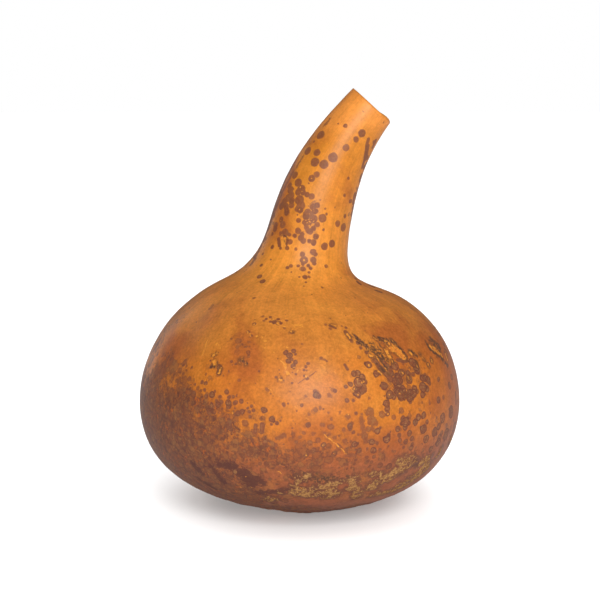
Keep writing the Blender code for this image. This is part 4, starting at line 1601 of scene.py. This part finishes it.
def relief_tree(materials):
    """Moves the skin out and in, but never below the ground."""
    tree, nodes, given, result = new_geometry_tree("rind relief", RELIEF)
    place = nodes.scaled(nodes.add("GeometryNodeInputPosition", {}).outputs[0], 1.0 / MM)
    lift = relief_lift(nodes, place, given)
    normal = nodes.add("GeometryNodeInputNormal", {}).outputs[0]
    x, y, z = nodes.split(nodes.vector("ADD", place, nodes.scaled(normal, lift)))
    moves = {
        "Geometry": given["Geometry"],
        "Position": nodes.scaled(nodes.join(x, y, nodes.most(z, 0.0)), MM),
        "Selection": nodes.has_finish(RIND),
    }
    shaped = nodes.add("GeometryNodeSetPosition", moves).outputs["Geometry"]
    finish_tree(nodes, result, shaped, materials)
    return tree


def flake_tree(material):
    """Scatters small flat flakes on the crust."""
    tree, nodes, given, result = new_geometry_tree("crust flakes", FLAKES)
    spread = {
        "Mesh": given["Geometry"],
        "Distance Min": nodes.product(given["Gap mm"], MM),
        "Density Max": MOST_FLAKES,
        "Density Factor": nodes.rise(nodes.field("crust_gap"), *FLAKE_FADE),
        "Seed": given["Seed"],
    }
    dots = nodes.add("GeometryNodeDistributePointsOnFaces", spread, distribute_method="POISSON")
    flake = nodes.add("GeometryNodeMeshIcoSphere", {"Radius": 0.5 * MM, "Subdivisions": 1})
    sizes = {2: FLAKE_SIZES[0], 3: FLAKE_SIZES[1], "Seed": given["Seed"]}
    size = nodes.add("FunctionNodeRandomValue", sizes, data_type="FLOAT").outputs[1]
    wide = nodes.product(size, given["Flake mm"])
    placed = {
        "Points": dots.outputs["Points"],
        "Instance": flake.outputs["Mesh"],
        "Rotation": dots.outputs["Rotation"],
        "Scale": nodes.join(wide, wide, nodes.product(wide, FLAKE_FLATNESS)),
    }
    flakes = nodes.add("GeometryNodeInstanceOnPoints", placed).outputs["Instances"]
    finish_tree(nodes, result, flakes, [material])
    return tree


def grown(name, mesh, tree, settings):
    """A plain mesh object with the result of a Geometry Nodes tree on a mesh."""
    piece = bpy.data.objects.new(name, mesh)
    bpy.context.scene.collection.objects.link(piece)
    modifier = piece.modifiers.new("shape", "NODES")
    modifier.node_group = tree
    for item in tree.interface.items_tree:
        if item.in_out == "INPUT" and item.name in settings:
            modifier[item.identifier] = settings[item.name][1]
    graph = bpy.context.evaluated_depsgraph_get()
    result = bpy.data.meshes.new_from_object(
        piece.evaluated_get(graph), preserve_all_data_layers=True, depsgraph=graph
    )
    piece.modifiers.remove(modifier)
    piece.data = result
    result.name = name
    return piece


def add_gourd(groups):
    materials = [rind_material(groups)]
    materials += [dull_material(groups, name) for name in ("sawn_rind", "hollow_lining")]
    rind = grown("gourd_rind", shell_mesh(), relief_tree(materials), RELIEF)
    rind.data.shade_smooth()
    return rind


def add_flakes(groups, rind):
    tree = flake_tree(dull_material(groups, "crust"))
    return grown("crust_flakes", rind.data, tree, FLAKES)


# The stage: floor, light and camera.
FLOOR_REACH = 30.0
FLOOR_CORNERS = 64
FLOOR_ROUGHNESS = 0.9
FLOOR_WHITE = (0.9, 0.9, 0.9, 1.0)
FLOOR_BOUNCE = (0.42, 0.42, 0.42, 1.0)  # what the floor throws back at the gourd
GLOW_ANGLE = math.radians(110.0)
FLOOR_GLOWS = (
    # name, strength, and whether the gourd shades it
    ("floor_glow", 1.0, True),
    ("floor_fill", 2.7, False),
)
SURROUND = 0.14  # light from all round, under the white that the camera sees
LIGHT_AIM = Vector((0.0, 0.0, 0.12))
SOFT_LIGHTS = (
    # name, place, width and height, and watts
    ("front", (0.24, -1.48, 0.84), (0.9, 0.7), 25.8),
    ("left_strip", (-0.95, 1.15, 0.4), (0.12, 1.0), 1.8),
    ("right_strip", (0.95, 1.15, 0.5), (0.12, 0.9), 0.12),
)


def add_floor():
    """A wide pale floor, white to the camera, that throws little light back."""
    mesh = bpy.data.meshes.new("floor")
    turn = np.radians(bearings(FLOOR_CORNERS))
    edge = np.stack([np.cos(turn), np.sin(turn), np.zeros(FLOOR_CORNERS)], axis=-1)
    mesh.from_pydata((edge * FLOOR_REACH).tolist(), [], [tuple(range(FLOOR_CORNERS))])
    floor = bpy.data.objects.new("floor", mesh)
    bpy.context.scene.collection.objects.link(floor)
    material, nodes, shader = new_material("floor")
    seen = nodes.add("ShaderNodeLightPath", {}).outputs["Is Camera Ray"]
    nodes.feed(shader.inputs["Base Color"], nodes.mix(seen, FLOOR_BOUNCE, FLOOR_WHITE))
    shader.inputs["Roughness"].default_value = FLOOR_ROUGHNESS
    mesh.materials.append(material)
    return floor


def add_floor_glow(floor, name, strength, shaded):
    """A wide soft light from above that reaches the floor alone and makes it white."""
    lamp = bpy.data.lights.new(name, "SUN")
    lamp.energy = strength
    lamp.angle = GLOW_ANGLE
    lamp.use_shadow = shaded
    light = bpy.data.objects.new(name, lamp)
    bpy.context.scene.collection.objects.link(light)
    lit = bpy.data.collections.new(f"lit_by_{name}")
    lit.objects.link(floor)
    light.light_linking.receiver_collection = lit


def add_soft_light(name, place, size, watts):
    lamp = bpy.data.lights.new(name, "AREA")
    lamp.shape = "RECTANGLE"
    lamp.size, lamp.size_y = size
    lamp.energy = watts
    light = bpy.data.objects.new(name, lamp)
    facing = (LIGHT_AIM - Vector(place)).to_track_quat("-Z", "Y")
    light.matrix_world = Matrix.Translation(place) @ facing.to_matrix().to_4x4()
    bpy.context.scene.collection.objects.link(light)


def add_world():
    """Soft light from all round, and pure white behind the gourd."""
    world = bpy.data.worlds.new("studio")
    world.use_nodes = True
    nodes = Nodes(world.node_tree)
    seen = nodes.add("ShaderNodeLightPath", {}).outputs["Is Camera Ray"]
    sky = world.node_tree.nodes["Background"]
    sky.inputs["Color"].default_value = (1.0, 1.0, 1.0, 1.0)
    nodes.feed(sky.inputs["Strength"], nodes.rise(seen, 0.0, 1.0, SURROUND, 1.0))
    bpy.context.scene.world = world


def add_camera():
    lens = bpy.data.cameras.new("camera")
    lens.lens = LENS
    lens.sensor_width = SENSOR
    lens.sensor_fit = "HORIZONTAL"
    camera = bpy.data.objects.new("camera", lens)
    right, up, ahead = camera_axes()
    turn = Matrix((right, up, -ahead)).transposed().to_4x4()
    camera.matrix_world = Matrix.Translation(camera_place()) @ turn
    bpy.context.scene.collection.objects.link(camera)
    bpy.context.scene.camera = camera


def add_stage():
    add_camera()
    add_world()
    for light in SOFT_LIGHTS:
        add_soft_light(*light)
    floor = add_floor()
    for glow in FLOOR_GLOWS:
        add_floor_glow(floor, *glow)
    bpy.context.scene.view_settings.view_transform = "Standard"


def main():
    add_stage()
    groups = make_groups()
    rind = add_gourd(groups)
    flakes = add_flakes(groups, rind)
    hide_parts("gourd")
    for piece in (rind, flakes):
        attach(piece, "root")


main()
